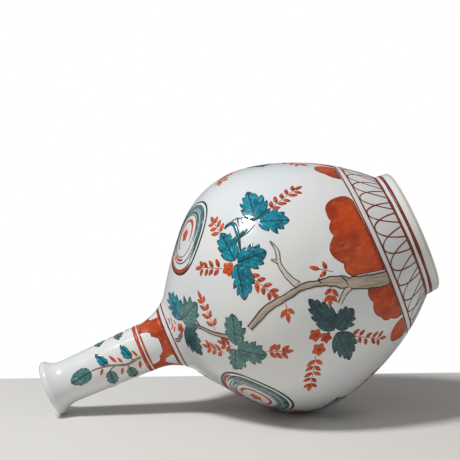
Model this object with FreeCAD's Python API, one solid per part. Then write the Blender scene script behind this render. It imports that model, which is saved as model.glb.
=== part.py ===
import FreeCAD
import Part
import math
import os

# A long-necked porcelain sake bottle with a round belly, painted in coloured enamels.
# All lengths are in mm and all angles in degrees. The origin is the centre of the ring
# that the foot stands on, +Z runs up the axis to the mouth, and the painted front faces -Y.
# A place on the outside is an angle round the axis from +X, and the length run up the
# outside from the foot's edge.

# Outside of the glazed bottle
height = 240.0
foot_r = 37.7
foot_top_r = 38.6
foot_h = 8.7
belly_r = 75.8
belly_z = 87.3
belly_arc = 53.7
bowl_blend = -10.9
shoulder_blend = 45.7
shoulder_arc = 228.0
root_arc = 26.5
neck_r = 14.6
neck_z = 175.0
throat_r = 13.0
throat_drop = 12.0
lip_r = 16.9
bead_r = 2.6
flare_arc = 12.0

# Walls, bore and skins
glaze_t = 0.3
wall_t = 4.4
floor_t = 6.0
floor_fillet = 14.0
foot_w = 6.5
foot_ease = 0.9
bare_h = 1.2
bore_r = 9.5
inner_root_arc = 30.0
slip_t = 0.6
slip_bead_r = 0.9
neck_joint_drop = 11.0

# Enamel heights above the glaze
line_t = 0.10
wash_t = 0.08
red_t = 0.12
leaf_t = 0.22

# Painted rings: how far above the foot's edge or the bowl's start, and their widths
foot_line_s = 5.2
thin_line_w = 1.1
thick_line_w = 1.9
bowl_band_gap = 0.3
bowl_band_w = 2.4
lappet_low = 2.8
bowl_line_s = 22.3
bowl_line_gap = 5.0

# Painted collar: lengths along the outside, down or up from where the neck's line starts
collar_low = 14.8
collar_high = 1.2
collar_line_drop = 18.7
neck_line_s = 1.3
neck_band_s = 3.2
neck_band_w = 2.2

# Lappets round the bowl
lappets = 30
lappet_half = 9.8
lappet_line_w = 0.8
# Half of a lappet's arch: shares of its half width and of its height
lappet_shape = [(0.0, 1.0), (0.32, 0.9), (0.62, 0.64), (0.9, 0.26), (1.0, 0.0)]

# The picture is painted three times round the bottle
repeats = 3
turn = 360.0 / repeats

# The painter's grid, on which the motifs below are placed: its lowest and highest lines
field_low = 36.0
field_high = 190.1
plant_low = 213.8
plant_high = 262.0

# Iron-red clouds that stand on the bowl's upper line: angle and height of each notch between
# scallops, and how far the scallop that follows it bulges, as a share of its width
clouds = [[(-104.5, 36.2, 0.0), (-98.6, 58.0, 0.2), (-91.4, 59.6, 0.32), (-77.1, 58.2, 0.2),
           (-69.6, 56.2, 0.3), (-55.2, 44.5, 0.2), (-59.0, 36.2, 0.0)],
          [(-137.9, 36.2, 0.15), (-132.4, 44.4, 0.2), (-126.6, 50.6, 0.2), (-116.0, 51.8, 0.2),
           (-106.6, 50.5, 0.0), (-109.6, 36.2, 0.0)],
          [(-158.8, 36.2, 0.15), (-153.6, 45.0, 0.25), (-141.6, 47.5, 0.15), (-140.8, 36.2, 0.0)]]

# Clear places in the red collar: angle, and length down from its upper edge
reserve_wide = [(-138.6, 1.6), (-135, 4.4), (-128, 5.4), (-122.5, 5.3), (-118, 7.2), (-110.8, 8.9),
                (-95, 9.4), (-83, 9.3), (-76.6, 7.2), (-72, 5.6), (-64, 5.8), (-58.6, 4.4), (-54.4, 1.6),
                (-55, -6), (-96, -8), (-138, -6)]
reserve_small = [(-40, 13.8), (-35, 10.8), (-30, 8.6), (-22, 7.2), (-14, 8.4), (-8, 11.0), (-5, 13.8),
                 (-22, 14.3)]

# The branch: angle, height and half width of its wash, from its foot up
trunk_low = [(-109, 36.2, 3.2), (-108.5, 40, 3.6), (-104.9, 50, 3.7), (-101.1, 60, 3.3), (-96.4, 70.2, 2.7),
             (-94.4, 79, 2.0), (-93.2, 87, 2.1), (-94, 96, 1.8), (-95.4, 109, 1.8), (-98.6, 118, 1.9),
             (-101, 124, 1.6)]
trunk_high = [(-103, 139.5, 1.4), (-100, 148, 1.3), (-97.7, 152.8, 1.2), (-93.4, 158.6, 1.1), (-91, 163, 0.9),
              (-90.2, 167, 0.7)]
trunk_top = [(-99, 189.2, 1.0), (-98, 185.8, 1.0), (-94.4, 183.2, 0.9), (-93, 180.4, 0.8)]
twig_left = [(-102.2, 60.5, 1.8), (-103.8, 66, 1.5), (-107, 71.4, 1.2)]
twig_right = [(-91.6, 89.0, 1.8), (-89, 91, 1.6), (-85, 92.9, 1.4), (-80, 93.7, 1.2), (-75, 92.0, 1.1),
              (-69.8, 93.4, 0.5)]
twig_fork = [(-79.8, 93.9, 0.9), (-77.4, 96.9, 0.5)]

# Lobed leaves: angle and height of the stalk's end and of the tip, and half width
teal_leaves = [((-72.4, 115.6), (-88.5, 119.8), 6.8), ((-72.2, 114.8), (-73.6, 97.4), 8.0),
               ((-70.7, 115.6), (-54.8, 117.0), 6.4), ((-58.1, 95.7), (-40.2, 93.4), 7.6),
               ((-59.2, 95.2), (-63.4, 78.2), 8.2), ((-79.4, 174.6), (-41.0, 177.2), 7.4)]
green_leaves = [((-110.4, 138.8), (-124.6, 147.2), 6.4), ((-110.4, 137.6), (-116.0, 120.8), 8.2),
                ((-108.2, 137.2), (-91.2, 130.4), 6.8), ((-79.6, 174.2), (-76.4, 153.4), 9.6)]
dark_leaves = [((-118.4, 79.4), (-136.0, 78.6), 7.6), ((-116.8, 80.2), (-98.5, 86.8), 6.6),
               ((-116.6, 79.0), (-112.8, 64.8), 7.2), ((-86.8, 173.4), (-118.7, 169.6), 7.4)]
# Half width of a leaf at shares of its length, which gives it three lobes a side
leaf_lobes = [(0.12, 0.42), (0.30, 0.92), (0.42, 0.80), (0.56, 1.0), (0.69, 0.66), (0.83, 0.54)]
bud_shape = [(0.5, 1.0)]

# Red sprigs: where each starts and ends, and its pairs of leaflets
sprigs = [((-113.9, 120.5), (-117.2, 105.5), 3), ((-112.4, 149), (-106.4, 165.5), 3),
          ((-108.5, 140.4), (-104.2, 151), 2), ((-97.2, 148.4), (-70.6, 148.8), 4),
          ((-123.6, 95.8), (-142.6, 107.4), 5), ((-122.6, 73.8), (-141, 51.8), 5),
          ((-92.6, 67.5), (-86.4, 79.4), 1), ((-97.6, 71.4), (-106.4, 77.6), 2),
          ((-96.6, 99.2), (-104.8, 102), 1), ((-78.4, 112.6), (-94.4, 101), 4),
          ((-70.8, 124.6), (-59.4, 143.4), 4), ((-56, 117.4), (-42.2, 118.8), 3),
          ((-55.6, 87.2), (-44.6, 62.4), 5)]
leaflet_half_w = 1.2
leaflet_l = 5.4
leaflet_lean = 48.0
# Stalk before the first pair of leaflets and after the last, in gaps between pairs
stalk_foot = 0.5
stalk_tip = 0.4

# Red blossoms: place and petal length
blossoms = [((-121.4, 92.6), 4.3), ((-114.5, 91.2), 4.1), ((-117.9, 86.2), 3.6), ((-72.4, 121.2), 4.4),
            ((-86.0, 179.2), 3.5)]
petals = 5
petal_half_w = 0.28
petal_start = 0.34

# Roundels on the shoulder: place, and the radius and width of each brushed ring
roundel_at = (-151.4, 141.2)
roundel_black = [(22.3, 1.0), (16.6, 0.45)]
roundel_red = [(20.4, 1.4), (9.4, 1.7)]
roundel_teal = [(18.6, 1.8), (14.6, 1.5)]
roundel_petal_l = 4.2

# The plant on the neck: stem points, leaf ends with half width, and buds
stem = [(-106, 214.4, 0.85), (-107.9, 219, 0.8), (-110, 223.5, 0.7), (-103.3, 228.5, 0.6), (-97.6, 232, 0.5),
        (-93, 237, 0.45), (-90, 242, 0.4), (-90.3, 245, 0.35)]
neck_leaves = [((-91, 245.4), (-97.6, 259.2), 5.1), ((-107.3, 235), (-154.7, 236), 3.2),
               ((-119.3, 223.2), (-162.5, 223), 2.8)]
neck_teal_leaves = [((-90.7, 234.2), (-52.4, 239.5), 2.8), ((-99.9, 219.6), (-57.6, 223.2), 2.8)]
buds = [((-95, 238.2), (-110.1, 241), 0.9), ((-113, 227), (-130.7, 229.4), 0.9),
        ((-113.6, 215.9), (-134.7, 217.8), 0.9), ((-95.3, 229), (-71.3, 232), 0.9),
        ((-101, 225.7), (-85, 227.6), 0.8), ((-101, 216.0), (-82.7, 218), 0.8)]

origin = FreeCAD.Vector(0, 0, 0)
up = FreeCAD.Vector(0, 0, 1)
full_turn = 360.0
reach = 2 * (belly_r + height)
shortest = 0.001
stencil_slack = 2.0
cloud_rise = 8.0


def flat(r, z):
    """A point of the section that is turned round the axis."""
    return FreeCAD.Vector(r, 0, z)


def heading(angle):
    """The unit vector in the section at an angle in radians above the horizontal."""
    return FreeCAD.Vector(math.cos(angle), 0, math.sin(angle))


def angle_of(vector):
    """The angle of a vector of the section, in radians."""
    return math.atan2(vector.z, vector.x)


def tangent_centre(centre, radius, start, along, arc, side):
    """Centre of an arc that touches a circle from outside and a line on its outer side."""
    outwards = FreeCAD.Vector(along.z, 0, -along.x)
    base = start + outwards * arc
    to_base = base - centre
    half = to_base.dot(along)
    rest = to_base.dot(to_base) - (radius + arc) ** 2
    step = -half + side * math.sqrt(half * half - rest)
    return base + along * step, start + along * step


# Centres of the outline's arcs
belly_c = flat(belly_r - belly_arc, belly_z)
foot_corner = flat(foot_top_r, foot_h)
low_dir = heading(math.radians(bowl_blend))
high_dir = heading(math.radians(shoulder_blend))
to_corner = foot_corner - belly_c
bowl_arc = ((to_corner.dot(to_corner) + belly_arc ** 2 - 2 * belly_arc * to_corner.dot(low_dir))
            / (2 * (belly_arc - to_corner.dot(low_dir))))
bowl_c = belly_c - low_dir * (bowl_arc - belly_arc)
shoulder_c = belly_c - high_dir * (shoulder_arc - belly_arc)
neck_start = flat(neck_r, neck_z)
neck_dir = (flat(throat_r, height - throat_drop) - neck_start).normalize()
root_c, root_end = tangent_centre(shoulder_c, shoulder_arc, neck_start, neck_dir, root_arc, 1)
bead_c = flat(lip_r - bead_r, height - bead_r)
flare_c, flare_start = tangent_centre(bead_c, bead_r, neck_start, neck_dir, flare_arc, -1)
mouth_arc = lip_r - bead_r - bore_r
mouth_c = flat(lip_r - bead_r, height - mouth_arc)
foot_dir = (foot_corner - flat(foot_r, 0)).normalize()
foot_out = FreeCAD.Vector(foot_dir.z, 0, -foot_dir.x)

# The outline above the foot, as arcs and one line, in order: centre, radius, hollow or not, ends
shoulder_end = angle_of(root_c - shoulder_c)
flare_top = angle_of(flare_c - bead_c)
outline_arcs = [
    (bowl_c, bowl_arc, 1, angle_of(foot_corner - bowl_c), math.radians(bowl_blend)),
    (belly_c, belly_arc, 1, math.radians(bowl_blend), math.radians(shoulder_blend)),
    (shoulder_c, shoulder_arc, 1, math.radians(shoulder_blend), shoulder_end),
    (root_c, root_arc, -1, math.pi + shoulder_end, angle_of(root_end - root_c) % (2 * math.pi)),
    None,
    (flare_c, flare_arc, -1, angle_of(flare_start - flare_c) % (2 * math.pi), math.pi + flare_top),
    (bead_c, bead_r, 1, flare_top, math.pi / 2),
]


def piece_length(piece):
    """Length of one arc of the outline, or of the neck's line."""
    if piece is None:
        return (flare_start - root_end).Length
    return abs(piece[4] - piece[3]) * piece[1]


foot_len = (foot_corner - flat(foot_r, 0)).Length
lengths = [piece_length(piece) for piece in outline_arcs]
neck_s = foot_len + sum(lengths[:4])
flare_s = neck_s + lengths[4]
total_s = foot_len + sum(lengths)
collar_line_s = neck_s - collar_line_drop


def foot_side(z, lift):
    """The foot's outer side at a height, lifted outwards by an enamel or sunk by the glaze."""
    base = flat(foot_r, 0) + foot_out * lift
    return base + foot_dir * ((z - base.z) / foot_dir.z)


def corner(lift):
    """Where the lifted foot side meets the lifted bowl."""
    base = flat(foot_r, 0) + foot_out * lift - bowl_c
    half = base.dot(foot_dir)
    rest = base.dot(base) - (bowl_arc + lift) ** 2
    return base + bowl_c + foot_dir * (-half - math.sqrt(half * half - rest))


def section_at(s, lift=0.0):
    """Point of the section at a length up the outside, lifted off it, and the way out."""
    if s < foot_len:
        return flat(foot_r, 0) + foot_dir * s + foot_out * lift, foot_out
    left = s - foot_len
    for piece, length in zip(outline_arcs, lengths):
        if left <= length or piece is outline_arcs[-1]:
            break
        left -= length
    if piece is None:
        outwards = FreeCAD.Vector(neck_dir.z, 0, -neck_dir.x)
        return root_end + neck_dir * left + outwards * lift, outwards
    centre, radius, bulge, first, last = piece
    radial = heading(first + (last - first) * left / length)
    return centre + radial * (radius + bulge * lift), radial * bulge


def arc_edge(centre, radius, first, last):
    """An arc of the section between two angles in radians."""
    ends = [centre + heading(first + (last - first) * share) * radius for share in (0, 0.5, 1)]
    return Part.Arc(*ends).toShape()


def run(low, high, lift):
    """Edges up the outside between two lengths, lifted off it."""
    edges = []
    if low < foot_len:
        edges.append(Part.makeLine(section_at(low, lift)[0], corner(lift) if high > foot_len else
                                   section_at(high, lift)[0]))
    begin = foot_len
    for piece, length in zip(outline_arcs, lengths):
        first_share = max(0.0, (low - begin) / length)
        last_share = min(1.0, (high - begin) / length)
        begin += length
        if (last_share - first_share) * length < shortest:
            continue
        if piece is None:
            edges.append(Part.makeLine(section_at(begin - length * (1 - first_share), lift)[0],
                                       section_at(begin - length * (1 - last_share), lift)[0]))
            continue
        centre, radius, bulge, first, last = piece
        from_angle = first + (last - first) * first_share
        to_angle = first + (last - first) * last_share
        if low < foot_len and piece is outline_arcs[0]:
            from_angle = angle_of(corner(lift) - centre)
        edges.append(arc_edge(centre, radius + bulge * lift, from_angle, to_angle))
    return edges


def ends_of(edges):
    """First and last point of a run of edges."""
    return edges[0].firstVertex(True).Point, edges[-1].lastVertex(True).Point


def turned(edges):
    """The solid that a closed set of edges sweeps round the axis."""
    wire = Part.Wire(Part.__sortEdges__(edges))
    return Part.Face(wire).revolve(origin, up, full_turn)


def skin(low, high, inner, outer):
    """A ring of paint or glaze between two lengths up the outside and two lifts off it."""
    under = run(low, high, inner)
    over = run(low, high, outer)
    under_first, under_last = ends_of(under)
    over_first, over_last = ends_of(over)
    ends = [Part.makeLine(under_first, over_first), Part.makeLine(under_last, over_last)]
    return turned(under + over + ends)


def inside(coat):
    """Edges of the inside, from the floor's centre to the lip's top, raised by a coat of glaze."""
    depth = glaze_t + wall_t + coat
    floor_z = foot_h + floor_t + coat
    fillet = floor_fillet - coat
    bowl_inner = bowl_arc - depth
    fillet_z = floor_z + fillet
    fillet_r = bowl_c.x + math.sqrt((bowl_inner - fillet) ** 2 - (fillet_z - bowl_c.z) ** 2)
    fillet_c = flat(fillet_r, fillet_z)
    fillet_end = angle_of(fillet_c - bowl_c)
    bore = bore_r + glaze_t - coat
    root, bore_start = tangent_centre(shoulder_c, shoulder_arc - depth, flat(bore, neck_z), up,
                                      inner_root_arc + coat, 1)
    shoulder_stop = angle_of(root - shoulder_c)
    mouth = mouth_arc - glaze_t + coat
    return [
        Part.makeLine(flat(0, floor_z), flat(fillet_r, floor_z)),
        arc_edge(fillet_c, fillet, -math.pi / 2, fillet_end),
        arc_edge(bowl_c, bowl_inner, fillet_end, math.radians(bowl_blend)),
        arc_edge(belly_c, belly_arc - depth, math.radians(bowl_blend), math.radians(shoulder_blend)),
        arc_edge(shoulder_c, shoulder_arc - depth, math.radians(shoulder_blend), shoulder_stop),
        arc_edge(root, inner_root_arc + coat, math.pi + shoulder_stop, math.pi),
        Part.makeLine(bore_start, flat(bore, mouth_c.z)),
        arc_edge(mouth_c, mouth, math.pi, math.pi / 2),
    ]


def clay():
    """The whole porcelain wall, from the standing ring to the lip, before it is parted."""
    outer = run(0.0, total_s, -glaze_t)[1:]
    inner = inside(0.0)
    ring_in = foot_r - foot_w
    side_foot = foot_side(foot_ease, -glaze_t)
    points = [flat(0, foot_h), flat(ring_in, foot_h), flat(ring_in, foot_ease),
              flat(ring_in + foot_ease, 0), flat(side_foot.x - foot_ease, 0), side_foot, corner(-glaze_t)]
    lines = [Part.makeLine(a, b) for a, b in zip(points, points[1:])]
    axis_line = Part.makeLine(flat(0, foot_h), flat(0, foot_h + floor_t))
    return turned(lines + outer + inner + [axis_line])


def slab(low, high):
    """Everything between two heights."""
    return Part.makeCylinder(reach, high - low, flat(0, low))


def luting(wall, z, inner_r):
    """Slip between two clay sections, with the bead that it leaves inside."""
    bead = Part.makeTorus(inner_r, slip_bead_r, flat(0, z), up)
    joint = wall.common(slab(z - slip_t / 2, z + slip_t / 2))
    return joint.fuse(bead.cut(wall)).removeSplitter()


def place(angle, s, lift=0.0):
    """A point of the bottle's outside and the way out, at an angle and a length."""
    point, outwards = section_at(s, lift)
    spin = FreeCAD.Rotation(up, angle)
    return spin.multVec(point), spin.multVec(outwards)


def on_field(s):
    """Length up the outside of a line of the painter's grid on the body."""
    low = foot_len + bowl_line_s + bowl_line_gap
    return low + (s - field_low) * (collar_line_s - low) / (field_high - field_low)


def on_neck(s):
    """Length up the outside of a line of the painter's grid on the neck."""
    low = neck_s + neck_band_s + neck_band_w
    return low + (s - plant_low) * (flare_s - low) / (plant_high - plant_low)


def smooth(points, corners):
    """A closed outline through points, smooth apart from its corners."""
    if not corners:
        curve = Part.BSplineCurve()
        curve.interpolate(Points=points, PeriodicFlag=True)
        return Part.Wire([curve.toShape()])
    marks = sorted(index % len(points) for index in corners)
    edges = []
    for start, stop in zip(marks, marks[1:] + [marks[0] + len(points)]):
        stretch = [points[index % len(points)] for index in range(start, stop + 1)]
        if len(stretch) == 2:
            edges.append(Part.makeLine(*stretch))
            continue
        curve = Part.BSplineCurve()
        curve.interpolate(Points=stretch)
        edges.append(curve.toShape())
    return Part.Wire(edges)


def stencil(places, corners, depth):
    """A block through the outside whose edge passes through places on it, and its lengths."""
    middle = [sum(values) / len(places) for values in zip(*places)]
    centre, outwards = place(*middle)
    spots = []
    for angle, s in places:
        spot = place(angle, s)[0] - centre
        spots.append(centre + spot - outwards * (spot.dot(outwards) + depth))
    block = Part.Face(smooth(spots, corners)).extrude(outwards * 2 * depth)
    heights = [s for angle, s in places]
    return block, min(heights), max(heights)


def spread(centre, x, y):
    """The place x mm round and y mm up from another place."""
    angle, s = centre
    radius = section_at(s + y)[0].x
    return angle + math.degrees(x / radius), s + y


def scalloped(notches):
    """A block whose edge bulges between the notches of a cloud, and the cloud's lengths."""
    places = [(angle, on_field(s)) for angle, s, bulge in notches]
    middle = [sum(values) / len(places) for values in zip(*places)]
    centre, outwards = place(*middle)
    spots = []
    for angle, s in places:
        spot = place(angle, s)[0] - centre
        spots.append(centre + spot - outwards * (spot.dot(outwards) + belly_arc))
    edges = []
    for (angle, s, bulge), start, end in zip(notches, spots, spots[1:] + spots[:1]):
        chord = end - start
        crest = (start + end) * 0.5 + outwards.cross(chord) * bulge
        edges.append(Part.Arc(start, crest, end).toShape() if bulge else Part.makeLine(start, end))
    block = Part.Face(Part.Wire(edges)).extrude(outwards * 2 * belly_arc)
    heights = [s for angle, s in places]
    return block, min(heights) + stencil_slack, max(heights) + cloud_rise


def strip(route, scale):
    """A brushed line with its own half width at each point, on the grid that scale gives."""
    ways = [(angle, scale(s), half) for angle, s, half in route]
    left = []
    right = []
    for index, (angle, s, half) in enumerate(ways):
        before = ways[max(index - 1, 0)]
        after = ways[min(index + 1, len(ways) - 1)]
        radius = section_at(s)[0].x
        round_step = math.radians(after[0] - before[0]) * radius
        up_step = after[1] - before[1]
        size = math.hypot(round_step, up_step)
        left.append(spread((angle, s), -up_step / size * half, round_step / size * half))
        right.append(spread((angle, s), up_step / size * half, -round_step / size * half))
    outline = left + right[::-1]
    return stencil(outline, (0, len(left) - 1, len(left), len(outline) - 1), belly_arc / 2)


def between(start, end):
    """Length from one place to another, round and up, in mm."""
    radius = section_at((start[1] + end[1]) / 2)[0].x
    return math.radians(end[0] - start[0]) * radius, end[1] - start[1]


def leaf(start, end, half, shape=None):
    """A leaf from its stalk to its tip, with half widths at shares of its length."""
    run_x, run_y = between(start, end)
    size = math.hypot(run_x, run_y)
    side_x, side_y = -run_y / size * half, run_x / size * half
    lobes = shape or leaf_lobes
    left = [spread(start, run_x * t + side_x * w, run_y * t + side_y * w) for t, w in lobes]
    right = [spread(start, run_x * t - side_x * w, run_y * t - side_y * w) for t, w in lobes]
    outline = [start] + left + [spread(start, run_x, run_y)] + right[::-1]
    return stencil(outline, (0, len(left) + 1), size / 2)


def blade(start, end, half, thickness):
    """A small pointed leaflet or petal, laid flat against the outside."""
    middle = [(a + b) / 2 for a, b in zip(start, end)]
    centre, outwards = place(*middle)
    first = place(*start)[0] - centre
    last = place(*end)[0] - centre
    first = centre + first - outwards * first.dot(outwards)
    last = centre + last - outwards * last.dot(outwards)
    side = (last - first).normalize().cross(outwards) * half
    arcs = [Part.Arc(first, centre + side, last).toShape(), Part.Arc(last, centre - side, first).toShape()]
    return Part.Face(Part.Wire(arcs)).extrude(outwards * thickness)


def on_grid(items, scale):
    """Leaves with their heights moved from the painter's grid to the bottle."""
    return [((a[0], scale(a[1])), (b[0], scale(b[1])), half) for a, b, half in items]


def sprig(start, end, pairs):
    """Leaflets in pairs along a red sprig, and one at its end."""
    run_x, run_y = between(start, end)
    size = math.hypot(run_x, run_y)
    heading_in = math.atan2(run_y, run_x)
    blades = []
    for pair in range(pairs):
        share = (pair + stalk_foot) / (pairs + stalk_tip)
        base = spread(start, run_x * share, run_y * share)
        for side in (-1, 1):
            way = heading_in + side * math.radians(leaflet_lean)
            foot = spread(base, math.cos(way) * leaflet_half_w, math.sin(way) * leaflet_half_w)
            tip = spread(base, math.cos(way) * leaflet_l, math.sin(way) * leaflet_l)
            blades.append(blade(foot, tip, leaflet_half_w, red_t))
    tip_share = 1 - leaflet_l / size
    blades.append(blade(spread(start, run_x * tip_share, run_y * tip_share), end, leaflet_half_w, red_t))
    return blades


def blossom(centre, length, thickness):
    """Petals round a place."""
    made = []
    for index in range(petals):
        way = math.pi / 2 + 2 * math.pi * index / petals
        foot = spread(centre, math.cos(way) * length * petal_start, math.sin(way) * length * petal_start)
        tip = spread(centre, math.cos(way) * length, math.sin(way) * length)
        made.append(blade(foot, tip, petal_half_w * length, thickness))
    return made


def ring(centre, radius, width):
    """A brushed ring round a place."""
    point, outwards = place(*centre)
    start = point - outwards * radius
    outer = Part.makeCylinder(radius + width / 2, 2 * radius, start, outwards)
    hole = Part.makeCylinder(radius - width / 2, 2 * radius, start, outwards)
    return outer.cut(hole), centre[1] - radius, centre[1] + radius


def clear_of(piece, below):
    """A piece of paint without what others already cover."""
    near = [other for other in below if other.BoundBox.intersect(piece.BoundBox)]
    return piece.cut(near) if near else piece


def painted(stencils, thickness, below=()):
    """Paint of a thickness on the glaze inside each stencil, clear of what lies there."""
    pieces = []
    for block, low, high in stencils:
        coat = skin(max(low - stencil_slack, foot_len), min(high + stencil_slack, flare_s), 0.0, thickness)
        piece = clear_of(coat.common(block), [*below, *pieces])
        pieces += piece.Solids
    return pieces


def all_round(pieces):
    """One picture's pieces, repeated round the bottle."""
    return Part.makeCompound([piece.rotated(origin, up, turn * index)
                              for index in range(repeats) for piece in pieces])


def lappet_band():
    """Overlapping arches between the foot's band and the bowl's lower line."""
    low = foot_len + lappet_low
    high = foot_len + bowl_line_s
    tall = high - low
    pitch = full_turn / lappets
    halves = [(-x, y) for x, y in lappet_shape[:0:-1]] + lappet_shape
    outer = [(x * lappet_half, low + y * tall) for x, y in halves]
    inner = []
    for angle, s in outer[::-1]:
        inward = math.degrees(lappet_line_w / section_at(s)[0].x)
        share = abs(angle) / lappet_half
        inner.append((angle - math.copysign(inward, angle) * share, s - lappet_line_w * (1 - share)))
    outline = outer + inner
    block = stencil(outline, (0, len(outer) - 1, len(outer), len(outline) - 1), belly_arc / 2)[0]
    arch = skin(low, high, 0.0, line_t).common(block)
    neighbours = range(1, math.ceil(2 * lappet_half / pitch))
    arch = arch.cut([arch.rotated(origin, up, pitch * step) for step in neighbours])
    return Part.makeCompound([arch.rotated(origin, up, pitch * index) for index in range(lappets)])


def save(name, shape):
    """Write one sub-part."""
    shape.exportStep(f"parts/{name}.step")


def save_body():
    """The porcelain sections, the slip that joins them, and the clear glaze."""
    wall = clay()
    foot_joint = foot_h - slip_t / 2
    neck_joint = root_end.z - neck_joint_drop
    belly_inner = belly_r - glaze_t - wall_t
    neck_gap = wall.slice(up, neck_joint)
    neck_inner = min(wire.BoundBox.XMax for wire in neck_gap)
    save("foot_ring", wall.common(slab(0, foot_joint - slip_t / 2)))
    save("foot_slip", wall.common(slab(foot_joint - slip_t / 2, foot_joint + slip_t / 2)))
    save("lower_bowl", wall.common(slab(foot_joint + slip_t / 2, belly_z - slip_t / 2)))
    save("belly_slip", luting(wall, belly_z, belly_inner))
    save("shoulder", wall.common(slab(belly_z + slip_t / 2, neck_joint - slip_t / 2)))
    save("neck_slip", luting(wall, neck_joint, neck_inner))
    save("neck_and_lip", wall.common(slab(neck_joint + slip_t / 2, height)))
    save("outer_glaze", skin(bare_h, total_s, -glaze_t, 0.0))
    bare = inside(0.0)
    coated = inside(glaze_t)
    bare_first, bare_last = ends_of(bare)
    coat_first, coat_last = ends_of(coated)
    ends = [Part.makeLine(bare_first, coat_first), Part.makeLine(bare_last, coat_last)]
    slip_beads = Part.makeCompound([Part.makeTorus(belly_inner, slip_bead_r, flat(0, belly_z), up),
                                    Part.makeTorus(neck_inner, slip_bead_r, flat(0, neck_joint), up)])
    save("inner_glaze", turned(bare + coated + ends).cut(slip_beads))
    save("base_glaze", Part.makeCylinder(foot_r - foot_w, glaze_t, flat(0, foot_h - glaze_t)))


def save_bands():
    """Painted rings, lappets, clouds and collar."""
    save("foot_line", skin(foot_line_s, foot_line_s + thick_line_w, 0.0, line_t))
    band = foot_len + bowl_band_gap
    save("foot_band", skin(band, band + bowl_band_w, 0.0, red_t))
    save("lappet_lines", lappet_band())
    low = foot_len + bowl_line_s
    high = low + bowl_line_gap
    save("bowl_line_low", skin(low, low + thin_line_w, 0.0, line_t))
    save("bowl_line_high", skin(high - thin_line_w, high, 0.0, line_t))
    save("collar_line", skin(collar_line_s, collar_line_s + thin_line_w, 0.0, line_t))
    save("neck_line", skin(neck_s + neck_line_s, neck_s + neck_line_s + thin_line_w, 0.0, line_t))
    save("neck_band", skin(neck_s + neck_band_s, neck_s + neck_band_s + neck_band_w, 0.0, red_t))
    collar = skin(neck_s - collar_low, neck_s + collar_high, 0.0, red_t)
    top = neck_s + collar_high
    clearings = [stencil([(angle, top - drop) for angle, drop in reserve], (), neck_r)[0]
                 for reserve in (reserve_wide, reserve_small)]
    save("collar_panel", collar.cut(all_round(clearings)))


def save_picture():
    """The branch, leaves, sprigs, blossoms and roundels on the body."""
    laid = []
    for name, leaves in (("teal_leaves", teal_leaves), ("green_leaves", green_leaves),
                         ("dark_leaves", dark_leaves)):
        pieces = painted([leaf(*item) for item in on_grid(leaves, on_field)], leaf_t, laid)
        save(name, all_round(pieces))
        laid += pieces
    trunk = painted([strip(route, on_field) for route in (trunk_low, trunk_high, trunk_top)], wash_t, laid)
    save("branch", all_round(trunk))
    routes = (twig_left, twig_right, twig_fork)
    twigs = painted([strip(route, on_field) for route in routes], wash_t, laid + trunk)
    save("twigs", all_round(twigs))
    save("clouds", all_round(painted([scalloped(cloud) for cloud in clouds], red_t, laid + trunk)))
    flowers = []
    for centre, length in blossoms:
        flowers += blossom((centre[0], on_field(centre[1])), length, red_t)
    flowers = [clear_of(petal, laid + trunk) for petal in flowers]
    save("blossoms", all_round(flowers))
    blades = []
    for start, end, pairs in sprigs:
        blades += sprig((start[0], on_field(start[1])), (end[0], on_field(end[1])), pairs)
    save("sprigs", all_round([clear_of(leaflet, laid + trunk + twigs + flowers) for leaflet in blades]))
    centre = (roundel_at[0], on_field(roundel_at[1]))
    for name, rings, thickness in (("roundel_black_rings", roundel_black, line_t),
                                   ("roundel_red_rings", roundel_red, red_t),
                                   ("roundel_green_rings", roundel_teal, leaf_t)):
        save(name, all_round(painted([ring(centre, radius, width) for radius, width in rings], thickness)))
    save("roundel_flowers", all_round(blossom(centre, roundel_petal_l, leaf_t)))


def save_neck_plant():
    """The plant on the neck."""
    leaves = painted([leaf(*item) for item in on_grid(neck_leaves, on_neck)], leaf_t)
    save("neck_leaves", all_round(leaves))
    teals = painted([leaf(*item) for item in on_grid(neck_teal_leaves, on_neck)], leaf_t, leaves)
    save("neck_teal_leaves", all_round(teals))
    leaves += teals
    stems = painted([strip(stem, on_neck)], line_t, leaves)
    save("neck_stems", all_round(stems))
    beads = painted([leaf(*item, bud_shape) for item in on_grid(buds, on_neck)], red_t, leaves + stems)
    save("neck_buds", all_round(beads))


os.makedirs("parts", exist_ok=True)
save_body()
save_bands()
save_picture()
save_neck_plant()
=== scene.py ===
"""Looks of a painted porcelain sake bottle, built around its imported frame.

The bottle stands upright in the frame, with +Z up its axis and its painted front towards -Y.
The main camera is rolled, and the pale floor is tilted, so that the picture shows it lying down.
Places on the outside are an angle round the axis and a length run up the outside from the foot.
Sizes are in millimetres until a point is placed, and in metres in the meshes.
"""

from __future__ import annotations

import logging
import math
from collections.abc import Callable, Sequence
from dataclasses import dataclass, field
from enum import Enum
from typing import NamedTuple

import bmesh
import bpy
from mathutils import Matrix, Vector, noise

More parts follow.
